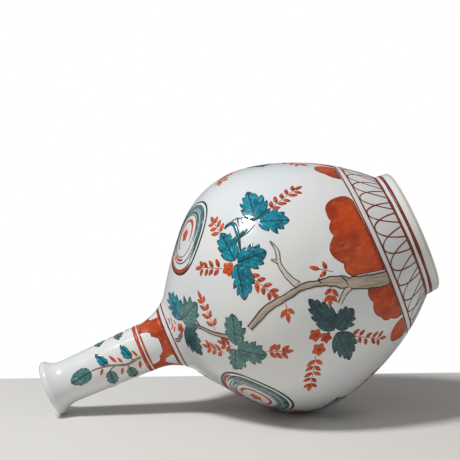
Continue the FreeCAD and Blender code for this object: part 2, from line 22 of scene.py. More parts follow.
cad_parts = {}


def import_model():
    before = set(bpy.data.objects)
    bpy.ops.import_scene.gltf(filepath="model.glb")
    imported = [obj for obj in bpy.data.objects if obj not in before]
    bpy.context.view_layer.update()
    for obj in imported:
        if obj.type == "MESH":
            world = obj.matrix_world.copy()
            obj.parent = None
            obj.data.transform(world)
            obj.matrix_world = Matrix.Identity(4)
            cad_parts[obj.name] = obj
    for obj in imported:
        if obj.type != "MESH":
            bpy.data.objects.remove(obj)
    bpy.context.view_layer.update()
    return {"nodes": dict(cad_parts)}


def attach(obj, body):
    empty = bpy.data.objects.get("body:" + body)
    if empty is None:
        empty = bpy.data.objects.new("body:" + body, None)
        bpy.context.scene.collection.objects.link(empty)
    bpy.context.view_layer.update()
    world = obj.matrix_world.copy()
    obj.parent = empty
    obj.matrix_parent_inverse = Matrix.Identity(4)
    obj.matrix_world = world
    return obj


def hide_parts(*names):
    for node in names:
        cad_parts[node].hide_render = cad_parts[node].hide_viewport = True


LOG = logging.getLogger("sake_bottle")
MM = 0.001
BODY = "root"
LAYERS = ("edge", "along", "across", "height")


class Slot(Enum):
    """Names of the record's material slots for the painted pieces; they are passed along but not set on any
    piece.
    """

    PORCELAIN = "bare_porcelain"
    GLAZE = "clear_glaze"
    IRON_RED = "iron_red"
    LINE_RED = "line_red"
    TEAL = "teal_enamel"
    # GREEN and DARK_GREEN take teal enamel darkened to grey-green and dark green as painted shade.
    GREEN = "green_enamel"
    DARK_GREEN = "dark_green_enamel"
    WASH = "brown_wash"
    BLACK = "black_line"


class Spot(NamedTuple):
    """A place on the outside: degrees round the axis, and mm up the outside from the foot."""

    angle: float
    s: float


class Dab(NamedTuple):
    """One point of a brush stroke: mm to the right and up from its spot, and half its width."""

    x: float
    y: float
    half: float


def srgb(code: str) -> tuple[float, float, float, float]:
    """Turn an sRGB hex value into a linear colour.

    Args:
        code: Six hex digits, with or without a leading hash.

    Returns:
        Red, green, blue and an alpha of 1.
    """
    digits = code.lstrip("#")
    channels = [int(digits[i:i + 2], 16) / 255 for i in (0, 2, 4)]
    linear = [c / 12.92 if c <= 0.04045 else ((c + 0.055) / 1.055) ** 2.4 for c in channels]
    return (*linear, 1.0)


def flat(angle: float) -> Vector:
    """Return the unit vector at an angle in radians in the section plane."""
    return Vector((math.cos(angle), math.sin(angle)))


def angle_of(vector: Vector) -> float:
    """Return the angle of a section vector in radians."""
    return math.atan2(vector.y, vector.x)


def wander(seed: float, along: float, size: float) -> float:
    """Return a smooth unsteady value for a hand-drawn line.

    Args:
        seed: Number that tells one line from another.
        along: Place along the line, one unit being the wander's own length.
        size: Largest value.

    Returns:
        A value between minus and plus size.
    """
    return size * noise.noise(Vector((along, seed * 7.31 + 0.5, seed * 1.77)))


class Arc(NamedTuple):
    """One arc of the outline: centre, radius, 1 if it bulges out or -1 if hollow, and its ends."""

    centre: Vector
    radius: float
    bulge: int
    first: float
    last: float

    @property
    def length(self) -> float:
        """Length of the arc in mm."""
        return abs(self.last - self.first) * self.radius

    def at(self, left: float, lift: float) -> tuple[Vector, Vector]:
        """Return the lifted point and the way out at a length along the arc."""
        out = flat(self.first + (self.last - self.first) * left / self.length)
        return self.centre + out * (self.radius + self.bulge * lift), out * self.bulge


class Line(NamedTuple):
    """One straight stretch of the outline."""

    start: Vector
    end: Vector

    @property
    def length(self) -> float:
        """Length of the stretch in mm."""
        return (self.end - self.start).length

    def at(self, left: float, lift: float) -> tuple[Vector, Vector]:
        """Return the lifted point and the way out at a length along the stretch."""
        along = (self.end - self.start).normalized()
        out = Vector((along.y, -along.x))
        return self.start + along * left + out * lift, out


@dataclass
class Outline:
    """The glazed bottle's section, as arcs that run into each other, in mm."""

    height: float = 240.0
    foot_r: float = 37.7
    foot_top_r: float = 38.6
    foot_h: float = 8.7
    belly_r: float = 75.8
    belly_z: float = 87.3
    belly_arc: float = 53.7
    bowl_blend: float = math.radians(-10.9)
    shoulder_blend: float = math.radians(45.7)
    shoulder_arc: float = 228.0
    root_arc: float = 26.5
    neck_r: float = 14.6
    neck_z: float = 175.0
    throat_r: float = 13.0
    throat_drop: float = 12.0
    lip_r: float = 16.9
    bead_r: float = 2.6
    flare_arc: float = 12.0
    glaze_t: float = 0.3
    wall_t: float = 4.4
    floor_t: float = 6.0
    floor_fillet: float = 14.0
    bore_r: float = 9.5
    inner_root_arc: float = 30.0
    arc_step: float = 0.12
    pieces: list[Arc | Line] = field(default_factory=list)

    def __post_init__(self) -> None:
        """Work out the arcs from the sizes."""
        self.belly_c = Vector((self.belly_r - self.belly_arc, self.belly_z))
        corner = Vector((self.foot_top_r, self.foot_h))
        low, high = flat(self.bowl_blend), flat(self.shoulder_blend)
        reach = corner - self.belly_c
        ahead = reach.dot(low)
        self.bowl_arc = ((reach.length_squared + self.belly_arc ** 2 - 2 * self.belly_arc * ahead)
                         / (2 * (self.belly_arc - ahead)))
        self.bowl_c = self.belly_c - low * (self.bowl_arc - self.belly_arc)
        self.shoulder_c = self.belly_c - high * (self.shoulder_arc - self.belly_arc)
        start = Vector((self.neck_r, self.neck_z))
        along = (Vector((self.throat_r, self.height - self.throat_drop)) - start).normalized()
        root_c, root_end = self.touching(self.shoulder_c, self.shoulder_arc, start, along, self.root_arc, 1)
        self.bead_c = Vector((self.lip_r - self.bead_r, self.height - self.bead_r))
        flare_c, flare_start = self.touching(self.bead_c, self.bead_r, start, along, self.flare_arc, -1)
        shoulder_end = angle_of(root_c - self.shoulder_c)
        flare_top = angle_of(flare_c - self.bead_c)
        self.pieces = [
            Line(Vector((self.foot_r, 0.0)), corner),
            Arc(self.bowl_c, self.bowl_arc, 1, angle_of(corner - self.bowl_c), self.bowl_blend),
            Arc(self.belly_c, self.belly_arc, 1, self.bowl_blend, self.shoulder_blend),
            Arc(self.shoulder_c, self.shoulder_arc, 1, self.shoulder_blend, shoulder_end),
            Arc(root_c, self.root_arc, -1, math.pi + shoulder_end, angle_of(root_end - root_c) % math.tau),
            Line(root_end, flare_start),
            Arc(flare_c, self.flare_arc, -1, angle_of(flare_start - flare_c) % math.tau, math.pi + flare_top),
            Arc(self.bead_c, self.bead_r, 1, flare_top, math.pi / 2),
        ]
        lengths = [piece.length for piece in self.pieces]
        self.foot_len = lengths[0]
        self.neck_s = sum(lengths[:5])
        self.flare_s = sum(lengths[:6])
        self.total_s = sum(lengths)

    @staticmethod
    def touching(centre: Vector, radius: float, start: Vector, along: Vector, arc: float,
                 side: int) -> tuple[Vector, Vector]:
        """Find the arc that touches a circle from outside and a line on its outer side.

        Args:
            centre: Centre of the circle.
            radius: Radius of the circle.
            start: A point of the line.
            along: The line's direction.
            arc: Radius of the touching arc.
            side: 1 for the farther of the two answers along the line, -1 for the nearer.

        Returns:
            The arc's centre, and where it touches the line.
        """
        base = start + Vector((along.y, -along.x)) * arc
        half = (base - centre).dot(along)
        rest = (base - centre).length_squared - (radius + arc) ** 2
        step = -half + side * math.sqrt(half * half - rest)
        return base + along * step, start + along * step

    def section(self, s: float, lift: float = 0.0) -> tuple[Vector, Vector]:
        """Return the section's point at a length up the outside, lifted off it, and the way out."""
        left = max(s, 0.0)
        for piece in self.pieces:
            if left <= piece.length or piece is self.pieces[-1]:
                return piece.at(min(left, piece.length), lift)
            left -= piece.length
        raise ValueError(s)

    def place(self, spot: Spot, lift: float = 0.0) -> Vector:
        """Return the point in metres at a spot of the outside, lifted off it in mm."""
        point, _ = self.section(spot.s, lift)
        turn = math.radians(spot.angle)
        return Vector((point.x * math.cos(turn), point.x * math.sin(turn), point.y)) * MM

    def spread(self, spot: Spot, x: float, y: float) -> Spot:
        """Return the spot x mm round and y mm up from another."""
        radius = self.section(spot.s + y)[0].x
        return Spot(spot.angle + math.degrees(x / radius), spot.s + y)

    def between(self, start: Spot, end: Spot) -> Vector:
        """Return the way from one spot to another, in mm round and up."""
        radius = self.section((start.s + end.s) / 2)[0].x
        return Vector((math.radians(end.angle - start.angle) * radius, end.s - start.s))

    def outside_points(self, low: float, high: float, step: float, lift: float) -> list[Vector]:
        """Return points of the section between two lengths, closer together on tight arcs."""
        points: list[Vector] = []
        begin = 0.0
        for piece in self.pieces:
            first, last = max(low, begin), min(high, begin + piece.length)
            begin += piece.length
            if last - first < 1e-6:
                continue
            pitch = min(step, piece.radius * self.arc_step) if isinstance(piece, Arc) else step
            count = max(2, math.ceil((last - first) / pitch))
            base = begin - piece.length
            stretch = [piece.at(first - base + (last - first) * i / count, lift)[0]
                       for i in range(count + 1)]
            if points and (points[-1] - stretch[0]).length < 0.05:
                stretch = stretch[1:]
            points += stretch
        return points

    def inside_points(self, coat: float, step: float) -> list[Vector]:
        """Return points of the inside, from the floor's centre to the lip's top, raised by a coat."""
        depth = self.glaze_t + self.wall_t + coat
        floor_z = self.foot_h + self.floor_t + coat
        fillet = self.floor_fillet - coat
        bowl_inner = self.bowl_arc - depth
        fillet_z = floor_z + fillet
        fillet_r = self.bowl_c.x + math.sqrt((bowl_inner - fillet) ** 2 - (fillet_z - self.bowl_c.y) ** 2)
        fillet_c = Vector((fillet_r, fillet_z))
        fillet_end = angle_of(fillet_c - self.bowl_c)
        bore = self.bore_r + self.glaze_t - coat
        bore_line = Vector((bore, self.neck_z))
        root, bore_start = self.touching(self.shoulder_c, self.shoulder_arc - depth, bore_line,
                                         Vector((0.0, 1.0)), self.inner_root_arc + coat, 1)
        stop = angle_of(root - self.shoulder_c)
        mouth = self.lip_r - self.bead_r - self.bore_r
        mouth_c = Vector((self.lip_r - self.bead_r, self.height - mouth))
        runs: list[Arc | Line] = [
            Line(Vector((0.0, floor_z)), Vector((fillet_r, floor_z))),
            Arc(fillet_c, fillet, 1, -math.pi / 2, fillet_end),
            Arc(self.bowl_c, bowl_inner, 1, fillet_end, self.bowl_blend),
            Arc(self.belly_c, self.belly_arc - depth, 1, self.bowl_blend, self.shoulder_blend),
            Arc(self.shoulder_c, self.shoulder_arc - depth, 1, self.shoulder_blend, stop),
            Arc(root, self.inner_root_arc + coat, 1, math.pi + stop, math.pi),
            Line(bore_start, Vector((bore, mouth_c.y))),
            Arc(mouth_c, mouth - self.glaze_t + coat, 1, math.pi, math.pi / 2),
        ]
        points = [Vector((0.0, floor_z))]
        for run in runs:
            pitch = min(step, run.radius * self.arc_step) if isinstance(run, Arc) else step * 2
            count = max(2, math.ceil(run.length / pitch))
            points += [run.at(run.length * i / count, 0.0)[0] for i in range(1, count + 1)]
        return points


def add(tree: bpy.types.NodeTree, kind: str, inputs: dict | None = None,
        **settings: object) -> bpy.types.Node:
    """Add a shader node with its settings, values and links.

    Args:
        tree: Node tree that takes the node.
        kind: Type name of the node.
        inputs: Socket name or number to a value, or to the output socket that feeds it.
        settings: Attributes of the node.

    Returns:
        The new node.
    """
    node = tree.nodes.new(kind)
    for name, value in settings.items():
        setattr(node, name, value)
    for socket, source in (inputs or {}).items():
        if isinstance(source, bpy.types.NodeSocket):
            tree.links.new(source, node.inputs[socket])
        else:
            node.inputs[socket].default_value = source
    return node


class Mask(NamedTuple):
    """Where a colour lies: a value eased from first to last as it goes from low to high."""

    value: bpy.types.NodeSocket
    low: float
    high: float
    first: float = 0.0
    last: float = 1.0
    easing: str = "SMOOTHSTEP"

    def lay(self, tree: bpy.types.NodeTree) -> bpy.types.NodeSocket:
        """Add the mask to a node tree and return its share."""
        inputs = {"Value": self.value, "From Min": self.low, "From Max": self.high,
                  "To Min": self.first, "To Max": self.last}
        node = add(tree, "ShaderNodeMapRange", inputs, interpolation_type=self.easing)
        return node.outputs["Result"]


@dataclass(frozen=True)
class Finish:
    """A fired surface: how it was made gives its gloss, its colours and its brush marks."""

    name: str
    colour: str
    roughness: float = 0.2
    ior: float = 1.5
    coat: float = 0.0
    coat_roughness: float = 0.06
    bump_mm: float = 0.02

    def start(self) -> tuple[bpy.types.Material, bpy.types.NodeTree, bpy.types.Node, bpy.types.NodeSocket]:
        """Make the material and its shader, and find the object's own coordinates.

        Returns:
            The material, its node tree, its shader node and the Object coordinates.
        """
        material = bpy.data.materials.new(self.name)
        material.use_nodes = True
        tree = material.node_tree
        tree.nodes.clear()
        shader = add(tree, "ShaderNodeBsdfPrincipled", {
            "Base Color": srgb(self.colour), "Roughness": self.roughness, "IOR": self.ior,
            "Coat Weight": self.coat, "Coat Roughness": self.coat_roughness})
        add(tree, "ShaderNodeOutputMaterial", {"Surface": shader.outputs[0]})
        material.diffuse_color = srgb(self.colour)
        return material, tree, shader, add(tree, "ShaderNodeTexCoord").outputs["Object"]

    @staticmethod
    def mottle(tree: bpy.types.NodeTree, where: bpy.types.NodeSocket,
               *blotches: tuple[float, float]) -> list[bpy.types.NodeSocket]:
        """Return noise for each blotch, given as its size in mm and how finely it breaks up."""
        noises = []
        for size, detail in blotches:
            inputs = {"Vector": where, "Scale": 1.0 / (size * MM), "Detail": detail}
            noises.append(add(tree, "ShaderNodeTexNoise", inputs).outputs["Fac"])
        return noises

    @staticmethod
    def brushed(tree: bpy.types.NodeTree, *layers: str) -> list[bpy.types.NodeSocket]:
        """Return what the brush left on the mesh, in mm from a stroke's edge, along it or across it."""
        return [add(tree, "ShaderNodeAttribute", attribute_name=layer).outputs["Fac"] for layer in layers]

    def paint(self, tree: bpy.types.NodeTree, shader: bpy.types.Node, *colours: tuple[Mask, str]) -> None:
        """Lay colours over the finish's own, each where its mask says."""
        body: object = srgb(self.colour)
        for mask, colour in colours:
            laid = add(tree, "ShaderNodeMix", {0: mask.lay(tree), 6: body, 7: srgb(colour)}, data_type="RGBA")
            body = laid.outputs[2]
        tree.links.new(body, shader.inputs["Base Color"])

    def relief(self, tree: bpy.types.NodeTree, shader: bpy.types.Node, height: bpy.types.NodeSocket) -> None:
        """Bump the surface by a height between 0 and 1 times the finish's bump."""
        bump = add(tree, "ShaderNodeBump", {"Height": height, "Distance": self.bump_mm * MM, "Strength": 1.0})
        tree.links.new(bump.outputs[0], shader.inputs["Normal"])

    def build(self) -> bpy.types.Material:
        """Return the material."""
        raise NotImplementedError


@dataclass(frozen=True)
class ClearGlazeOnPorcelain(Finish):
    """Feldspar glaze over white clay: wet gloss, a cool cast where it lies thick, small iron specks."""

    warm: str = "#DEDDD9"
    thick: str = "#D3DAD8"
    speck: str = "#8A7358"
    speck_pitch_mm: float = 9.0
    ripple_share: float = 0.15

    def build(self) -> bpy.types.Material:
        """Return the material."""
        material, tree, shader, where = self.start()
        cast, pool, swell, ripple, haze = self.mottle(
            tree, where, (55.0, 2.0), (24.0, 4.0), (16.0, 1.0), (1.6, 2.0), (8.0, 3.0))
        pitch = self.speck_pitch_mm * MM
        cells = add(tree, "ShaderNodeTexVoronoi", {"Vector": where, "Scale": 1.0 / pitch})
        lot = add(tree, "ShaderNodeSeparateColor", {"Color": cells.outputs["Color"]}).outputs[0]
        kept = Mask(lot, 0.72, 0.74).lay(tree)
        dot = Mask(cells.outputs["Distance"], 0.022, 0.045, 1.0, 0.0).lay(tree)
        specks = add(tree, "ShaderNodeMath", {0: dot, 1: kept}, operation="MULTIPLY").outputs[0]
        self.paint(tree, shader, (Mask(cast, 0.35, 0.68), self.warm),
                   (Mask(pool, 0.52, 0.75, 0.0, 0.55), self.thick),
                   (Mask(specks, 0.0, 1.0, 0.0, 0.7, "LINEAR"), self.speck))
        fine = add(tree, "ShaderNodeMath", {0: ripple, 1: self.ripple_share}, operation="MULTIPLY").outputs[0]
        waves = add(tree, "ShaderNodeMath", {0: swell, 1: 1.0 - self.ripple_share, 2: fine},
                    operation="MULTIPLY_ADD")
        self.relief(tree, shader, waves.outputs[0])
        rough = Mask(haze, 0.3, 0.7, self.roughness * 0.8, self.roughness * 1.4).lay(tree)
        tree.links.new(rough, shader.inputs["Roughness"])
        return material


@dataclass(frozen=True)
class BareClay(Finish):
    """Porcelain left bare: matt and sandy, toasted to buff by the kiln."""

    toasted: str = "#C9A784"
    sand: str = "#7C6650"
    grit_mm: float = 0.6

    def build(self) -> bpy.types.Material:
        """Return the material."""
        material, tree, shader, where = self.start()
        blush, grit = self.mottle(tree, where, (12.0, 4.0), (self.grit_mm, 3.0))
        self.paint(tree, shader, (Mask(blush, 0.42, 0.72, 0.0, 0.8), self.toasted),
                   (Mask(grit, 0.62, 0.75, 0.0, 0.5), self.sand))
        self.relief(tree, shader, grit)
        return material


@dataclass(frozen=True)
class BrushedIronRed(Finish):
    """Iron-red overglaze in broad strokes: streaks where the brush ran dry, a darker drawn edge."""

    dark: str = "#9C3413"
    light: str = "#DE6A34"
    edge: str = "#7E2410"
    edge_mm: float = 0.55
    edge_fade_mm: float = 0.25
    streak: tuple[float, float, float] = (1.0, 1.0, 0.35)

    def build(self) -> bpy.types.Material:
        """Return the material."""
        material, tree, shader, where = self.start()
        stretched = add(tree, "ShaderNodeMapping", {"Vector": where, "Scale": self.streak}).outputs[0]
        (brush,) = self.mottle(tree, stretched, (2.6, 3.0))
        wash, waver = self.mottle(tree, where, (13.0, 3.0), (3.0, 2.0))
        (border,) = self.brushed(tree, "edge")
        uneven = add(tree, "ShaderNodeMath", {0: waver, 1: 0.3, 2: border}, operation="MULTIPLY_ADD")
        faded = self.edge_mm + self.edge_fade_mm
        self.paint(tree, shader, (Mask(wash, 0.38, 0.7), self.dark),
                   (Mask(brush, 0.52, 0.74, 0.0, 0.55), self.light),
                   (Mask(brush, 0.46, 0.30, 0.0, 0.4), self.dark),
                   (Mask(uneven.outputs[0], self.edge_mm, faded, 0.85, 0.0), self.edge))
        self.relief(tree, shader, brush)
        return material


@dataclass(frozen=True)
class DrawnLine(Finish):
    """A line drawn with a liner brush: the colour thins where the brush lifts."""

    thin: str = "#A85540"

    def build(self) -> bpy.types.Material:
        """Return the material."""
        material, tree, shader, where = self.start()
        load, grain = self.mottle(tree, where, (4.0, 3.0), (0.8, 2.0))
        self.paint(tree, shader, (Mask(load, 0.46, 0.74, 0.0, 0.7), self.thin))
        self.relief(tree, shader, grain)
        return material


@dataclass(frozen=True)
class PooledLeafEnamel(Finish):
    """Glassy enamel over drawn veins: deep where it pooled, pale where it ran thin, glossy."""

    deep: str = "#0A5F70"
    pale: str = "#3FB4C0"
    vein: str = "#17262B"
    vein_mm: float = 0.34
    vein_pitch_mm: float = 4.4
    vein_slant: float = 1.5
    rib_share: float = 0.85
    outline_mm: float = 0.5
    wobble_mm: float = 0.8

    def drawing(self, tree: bpy.types.NodeTree, waver: bpy.types.NodeSocket) -> bpy.types.NodeSocket:
        """Return the share of the drawn midrib, ribs and outline, made unsteady by noise."""
        border, along, across = self.brushed(tree, "edge", "along", "across")
        wobble = add(tree, "ShaderNodeMath", {0: waver, 1: 2 * self.wobble_mm, 2: -self.wobble_mm},
                     operation="MULTIPLY_ADD").outputs[0]
        side = add(tree, "ShaderNodeMath", {0: wobble, 1: 0.5, 2: across}, operation="MULTIPLY_ADD")
        off = add(tree, "ShaderNodeMath", {0: side.outputs[0]}, operation="ABSOLUTE").outputs[0]
        slanted = add(tree, "ShaderNodeMath", {0: off, 1: -self.vein_slant, 2: along},
                      operation="MULTIPLY_ADD")
        shaken = add(tree, "ShaderNodeMath", {0: slanted.outputs[0], 1: wobble}, operation="ADD").outputs[0]
        half_pitch = self.vein_pitch_mm / 2
        shifted = add(tree, "ShaderNodeMath", {0: shaken, 1: half_pitch}, operation="ADD").outputs[0]
        near = add(tree, "ShaderNodeMath", {0: shifted, 1: half_pitch}, operation="PINGPONG").outputs[0]
        rim = add(tree, "ShaderNodeMath", {0: wobble, 1: 0.2, 2: border}, operation="MULTIPLY_ADD")
        lines = Mask(off, self.vein_mm * 0.7, self.vein_mm * 1.5, 1.0, 0.0).lay(tree)
        for line in (Mask(near, self.vein_mm * 0.5, self.vein_mm * 1.1, self.rib_share, 0.0),
                     Mask(rim.outputs[0], self.outline_mm * 0.5, self.outline_mm, 0.85, 0.0)):
            lines = add(tree, "ShaderNodeMath", {0: lines, 1: line.lay(tree)}, operation="MAXIMUM").outputs[0]
        return lines

    def build(self) -> bpy.types.Material:
        """Return the material."""
        material, tree, shader, where = self.start()
        waver, pool, film, ripple = self.mottle(
            tree, where, (3.0, 2.0), (5.0, 3.0), (2.4, 2.0), (2.2, 2.0))
        self.paint(tree, shader, (Mask(pool, 0.40, 0.66), self.deep),
                   (Mask(film, 0.56, 0.72, 0.0, 0.7), self.pale),
                   (Mask(self.drawing(tree, waver), 0.0, 1.0, 0.0, 0.9, "LINEAR"), self.vein))
        self.relief(tree, shader, ripple)
        return material


@dataclass(frozen=True)
class BarkWash(Finish):
    """A thin brown wash between two drawn outlines, with short strokes of bark."""

    dark: str = "#8A7460"
    line: str = "#2E1D14"
    line_mm: float = 0.85
    line_waver_mm: float = 0.25

    def build(self) -> bpy.types.Material:
        """Return the material."""
        material, tree, shader, where = self.start()
        border, along, across = self.brushed(tree, "edge", "along", "across")
        drift, waver = self.mottle(tree, where, (30.0, 2.0), (2.5, 2.0))
        axes = {axis: add(tree, "ShaderNodeMath", {0: value, 1: scale}, operation="MULTIPLY").outputs[0]
                for axis, value, scale in (("X", along, 0.07), ("Y", across, 0.7), ("Z", drift, 2.0))}
        drawn = add(tree, "ShaderNodeCombineXYZ", axes).outputs[0]
        bark = add(tree, "ShaderNodeTexNoise", {"Vector": drawn, "Scale": 1.0, "Detail": 3.0})
        strokes = bark.outputs["Fac"]
        shift = add(tree, "ShaderNodeMath", {0: waver, 1: 2 * self.line_waver_mm, 2: -self.line_waver_mm},
                    operation="MULTIPLY_ADD").outputs[0]
        uneven = add(tree, "ShaderNodeMath", {0: border, 1: shift}, operation="ADD").outputs[0]
        self.paint(tree, shader, (Mask(strokes, 0.44, 0.68), self.dark),
                   (Mask(uneven, self.line_mm * 0.7, self.line_mm * 1.15, 0.95, 0.0), self.line))
        self.relief(tree, shader, strokes)
        return material


GLAZE = ClearGlazeOnPorcelain("glazed_porcelain", "#D9DDDE", roughness=0.14, coat=0.3, bump_mm=0.12)
BISQUE = BareClay("bare_porcelain", "#E3D8C6", roughness=0.85, bump_mm=0.12)
SLIP = BareClay("fired_slip", "#D6CBB8", roughness=0.9, bump_mm=0.1, grit_mm=0.9)
RED_FIELD = BrushedIronRed("brushed_iron_red", "#C24408", roughness=0.4, bump_mm=0.02, dark="#962D06",
                           light="#DB671E")
RED_LINE = DrawnLine("drawn_iron_red_line", "#74200C", roughness=0.4, bump_mm=0.02, thin="#9C4426")
RED_RING = DrawnLine("brushed_iron_red_ring", "#AE3A10", roughness=0.4, thin="#D0642C")
SPRIG_RED = BrushedIronRed("orange_red_leaflet", "#D2520C", roughness=0.42, light="#EA8038", dark="#B23C08",
                           edge="#9A300A", edge_mm=0.1, bump_mm=0.02)
BLACK_LINE = DrawnLine("drawn_black_line", "#231813", roughness=0.42, thin="#4A3D34")
TEAL_LEAF = PooledLeafEnamel("teal_leaf_enamel", "#0A8CA0", roughness=0.16, ior=1.5, coat=0.25, bump_mm=0.06)
# Teal leaf enamel darkened to grey-green: painted shade for the leaves that lay on the shaded side.
PAINTED_SHADE_TEAL_LEAF = PooledLeafEnamel("teal_leaf_enamel_painted_shade", "#4C807A", roughness=0.18, ior=1.5, coat=0.25,
                              bump_mm=0.06, deep="#2C6562", pale="#86AEA4")
# Teal leaf enamel darkened to dark green: deeper painted shade for the leaves furthest on the shaded side.
PAINTED_DEEP_SHADE_TEAL_LEAF = PooledLeafEnamel("teal_leaf_enamel_painted_deep_shade", "#0E5152", roughness=0.16, ior=1.5, coat=0.25,
                             bump_mm=0.06, deep="#072F36", pale="#237572")
# Teal ring enamel darkened to grey-green: painted shade, copied from the roundel that lay on the shaded side.
PAINTED_SHADE_TEAL_RING = PooledLeafEnamel("brushed_teal_ring_painted_shade", "#35777A", roughness=0.2, ior=1.5, coat=0.2,
                              bump_mm=0.04, deep="#27595C", pale="#6FA39C", vein_mm=0.0, outline_mm=0.24)
BARK = BarkWash("brown_bark_wash", "#BBAB98", roughness=0.3, bump_mm=0.03, dark="#9C8A76")
TWIG = BarkWash("pale_twig_wash", "#D3C9BA", roughness=0.3, bump_mm=0.03, dark="#BDB09D", line_mm=0.58)
STEM = BarkWash("brown_stem_wash", "#A58C72", roughness=0.35, bump_mm=0.02, dark="#7A6450", line="#3F2D22",
                line_mm=0.26)


@dataclass
class Brush:
    """Lays enamel on the outside as thin raised pieces that follow the surface."""

    shape: Outline
    sink: float = 0.05
    mesh: bmesh.types.BMesh = field(default_factory=bmesh.new)
    strokes: int = 0

    def settle(self, sheet: bmesh.types.BMesh, height: object, spot_of: Callable[[float, float], Spot],
               weld: float = 0.0) -> None:
        """Close a flat sheet underneath, curve it on to the outside and keep it.

        Args:
            sheet: Flat mesh.
            height: The vertex layer that holds each vertex's height above the glaze, in mm.
            spot_of: Gives the spot of a vertex from its place on the sheet.
            weld: Distance in metres under which its vertices are merged, where its ends meet.
        """
        under = list(sheet.verts)
        bmesh.ops.extrude_face_region(sheet, geom=list(sheet.faces), use_keep_orig=True)
        for vert in under:
            vert[height] = -self.sink
        for vert in sheet.verts:
            vert.co = self.shape.place(spot_of(vert.co.x, vert.co.y), vert[height])
        if weld:
            bmesh.ops.remove_doubles(sheet, verts=sheet.verts, dist=weld)
        bmesh.ops.recalc_face_normals(sheet, faces=sheet.faces)
        kept = bpy.data.meshes.new("stroke")
        sheet.to_mesh(kept)
        sheet.free()
        self.mesh.from_mesh(kept)
        bpy.data.meshes.remove(kept)
        self.strokes += 1

    def blob(self, spot: Spot, outline: Sequence[tuple[float, float]], lift: float, dome: float,
             along: float = 0.0) -> None:
        """Lay a patch of enamel inside an outline.

        Args:
            spot: Place of the outline's origin.
            outline: Points in mm round and up from the spot, in order.
            lift: Height of its edge above the glaze, in mm.
            dome: How much higher its middle lies, in mm.
            along: Direction of the brush in radians.
        """
        sheet = bmesh.new()
        circle = bmesh.ops.create_circle(sheet, cap_ends=True, segments=len(outline), radius=1.0)
        for vert, (x, y) in zip(circle["verts"], outline):
            vert.co = (x, y, 0.0)
        sheet.normal_update()
        bmesh.ops.triangulate(sheet, faces=list(sheet.faces), ngon_method="EAR_CLIP")
        step = max(0.9, min(3.0, self.shape.section(spot.s)[0].x * 0.075))
        for axis in (0, 1):
            values = [point[axis] for point in outline]
            cuts = max(1, math.ceil((max(values) - min(values)) / step))
            normal = Vector((axis == 0, axis == 1, 0.0))
            for cut in range(1, cuts):
                middle = min(values) + (max(values) - min(values)) * cut / cuts
                everything = sheet.verts[:] + sheet.edges[:] + sheet.faces[:]
                bmesh.ops.bisect_plane(sheet, geom=everything, dist=1e-4, plane_co=normal * middle,
                                       plane_no=normal)
        bmesh.ops.remove_doubles(sheet, verts=sheet.verts, dist=0.01)
        edge, ahead, across, height = (sheet.verts.layers.float.new(name) for name in LAYERS)
        back = Matrix.Rotation(-along, 2)
        sides = [(Vector(a), Vector(b) - Vector(a)) for a, b in zip(outline, [*outline[1:], outline[0]])]
        for vert in sheet.verts:
            gap = 0.0 if vert.is_boundary else min(self.gap(vert.co.xy, a, ab) for a, ab in sides)
            vert[edge] = gap
            rise = min(gap / 1.1, 1.0)
            vert[ahead], vert[across] = back @ vert.co.xy
            vert[height] = lift + dome * math.sqrt(rise * (2 - rise)) + (
                wander(spot.angle, vert.co.x * 0.35 + vert.co.y * 0.6, dome * 0.3) if rise else 0.0)
        self.settle(sheet, height, lambda x, y: self.shape.spread(spot, x, y))

    @staticmethod
    def gap(point: Vector, start: Vector, run: Vector) -> float:
        """Return how far a point lies from one side of an outline."""
        share = max(0.0, min(1.0, (point - start).dot(run) / max(run.length_squared, 1e-9)))
        return (start + run * share - point).length

    def stroke(self, spot: Spot, dabs: Sequence[Dab], lift: float, dome: float = 0.03,
               cells: int = 2) -> None:
        """Lay a brush stroke along a row of dabs.

        Args:
            spot: Place of the dabs' origin.
            dabs: Points of the stroke with half widths, evenly and closely spaced.
            lift: Height of its edges above the glaze, in mm.
            dome: How much higher its middle lies, in mm.
            cells: Faces across the stroke.
        """
        sheet = bmesh.new()
        last = len(dabs) - 1
        bmesh.ops.create_grid(sheet, x_segments=last, y_segments=cells, size=0.5)
        edge, ahead, across, height = (sheet.verts.layers.float.new(name) for name in LAYERS)
        for vert in sheet.verts:
            index = round((vert.co.x + 0.5) * last)
            side = vert.co.y * 2
            dab, before, after = dabs[index], dabs[max(index - 1, 0)], dabs[min(index + 1, last)]
            way = Vector((after.x - before.x, after.y - before.y)).normalized()
            vert.co = (dab.x - way.y * dab.half * side, dab.y + way.x * dab.half * side, 0.0)
            vert[edge] = dab.half * (1 - abs(side))
            vert[ahead] = index * math.hypot(dabs[1].x - dabs[0].x, dabs[1].y - dabs[0].y)
            vert[across] = dab.half * side
            vert[height] = lift + dome * (1 - side * side)
        self.settle(sheet, height, lambda x, y: self.shape.spread(spot, x, y))

    def finish(self, name: str, finish: bpy.types.Material, slot: Slot, *nodes: str) -> bpy.types.Object:
        """Make one piece of everything laid so far.

        Args:
            name: Name of the piece.
            finish: Its material.
            slot: The record's material slot; not used.
            nodes: The CAD nodes it stands for.

        Returns:
            The piece.
        """
        data = bpy.data.meshes.new(name)
        self.mesh.to_mesh(data)
        self.mesh.free()
        LOG.info("%s: %d strokes, %d faces", name, self.strokes, len(data.polygons))
        return adopt(name, data, finish, slot, *nodes)


def adopt(name: str, data: bpy.types.Mesh, finish: bpy.types.Material, slot: Slot,
          *nodes: str) -> bpy.types.Object:
    """Link a finished mesh as a piece that rides on the bottle and stands for CAD nodes."""
    data.shade_smooth()
    data.materials.append(finish)
    piece = bpy.data.objects.new(name, data)
    bpy.context.scene.collection.objects.link(piece)
    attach(piece, BODY)
    if nodes:
        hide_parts(*nodes)
    return piece


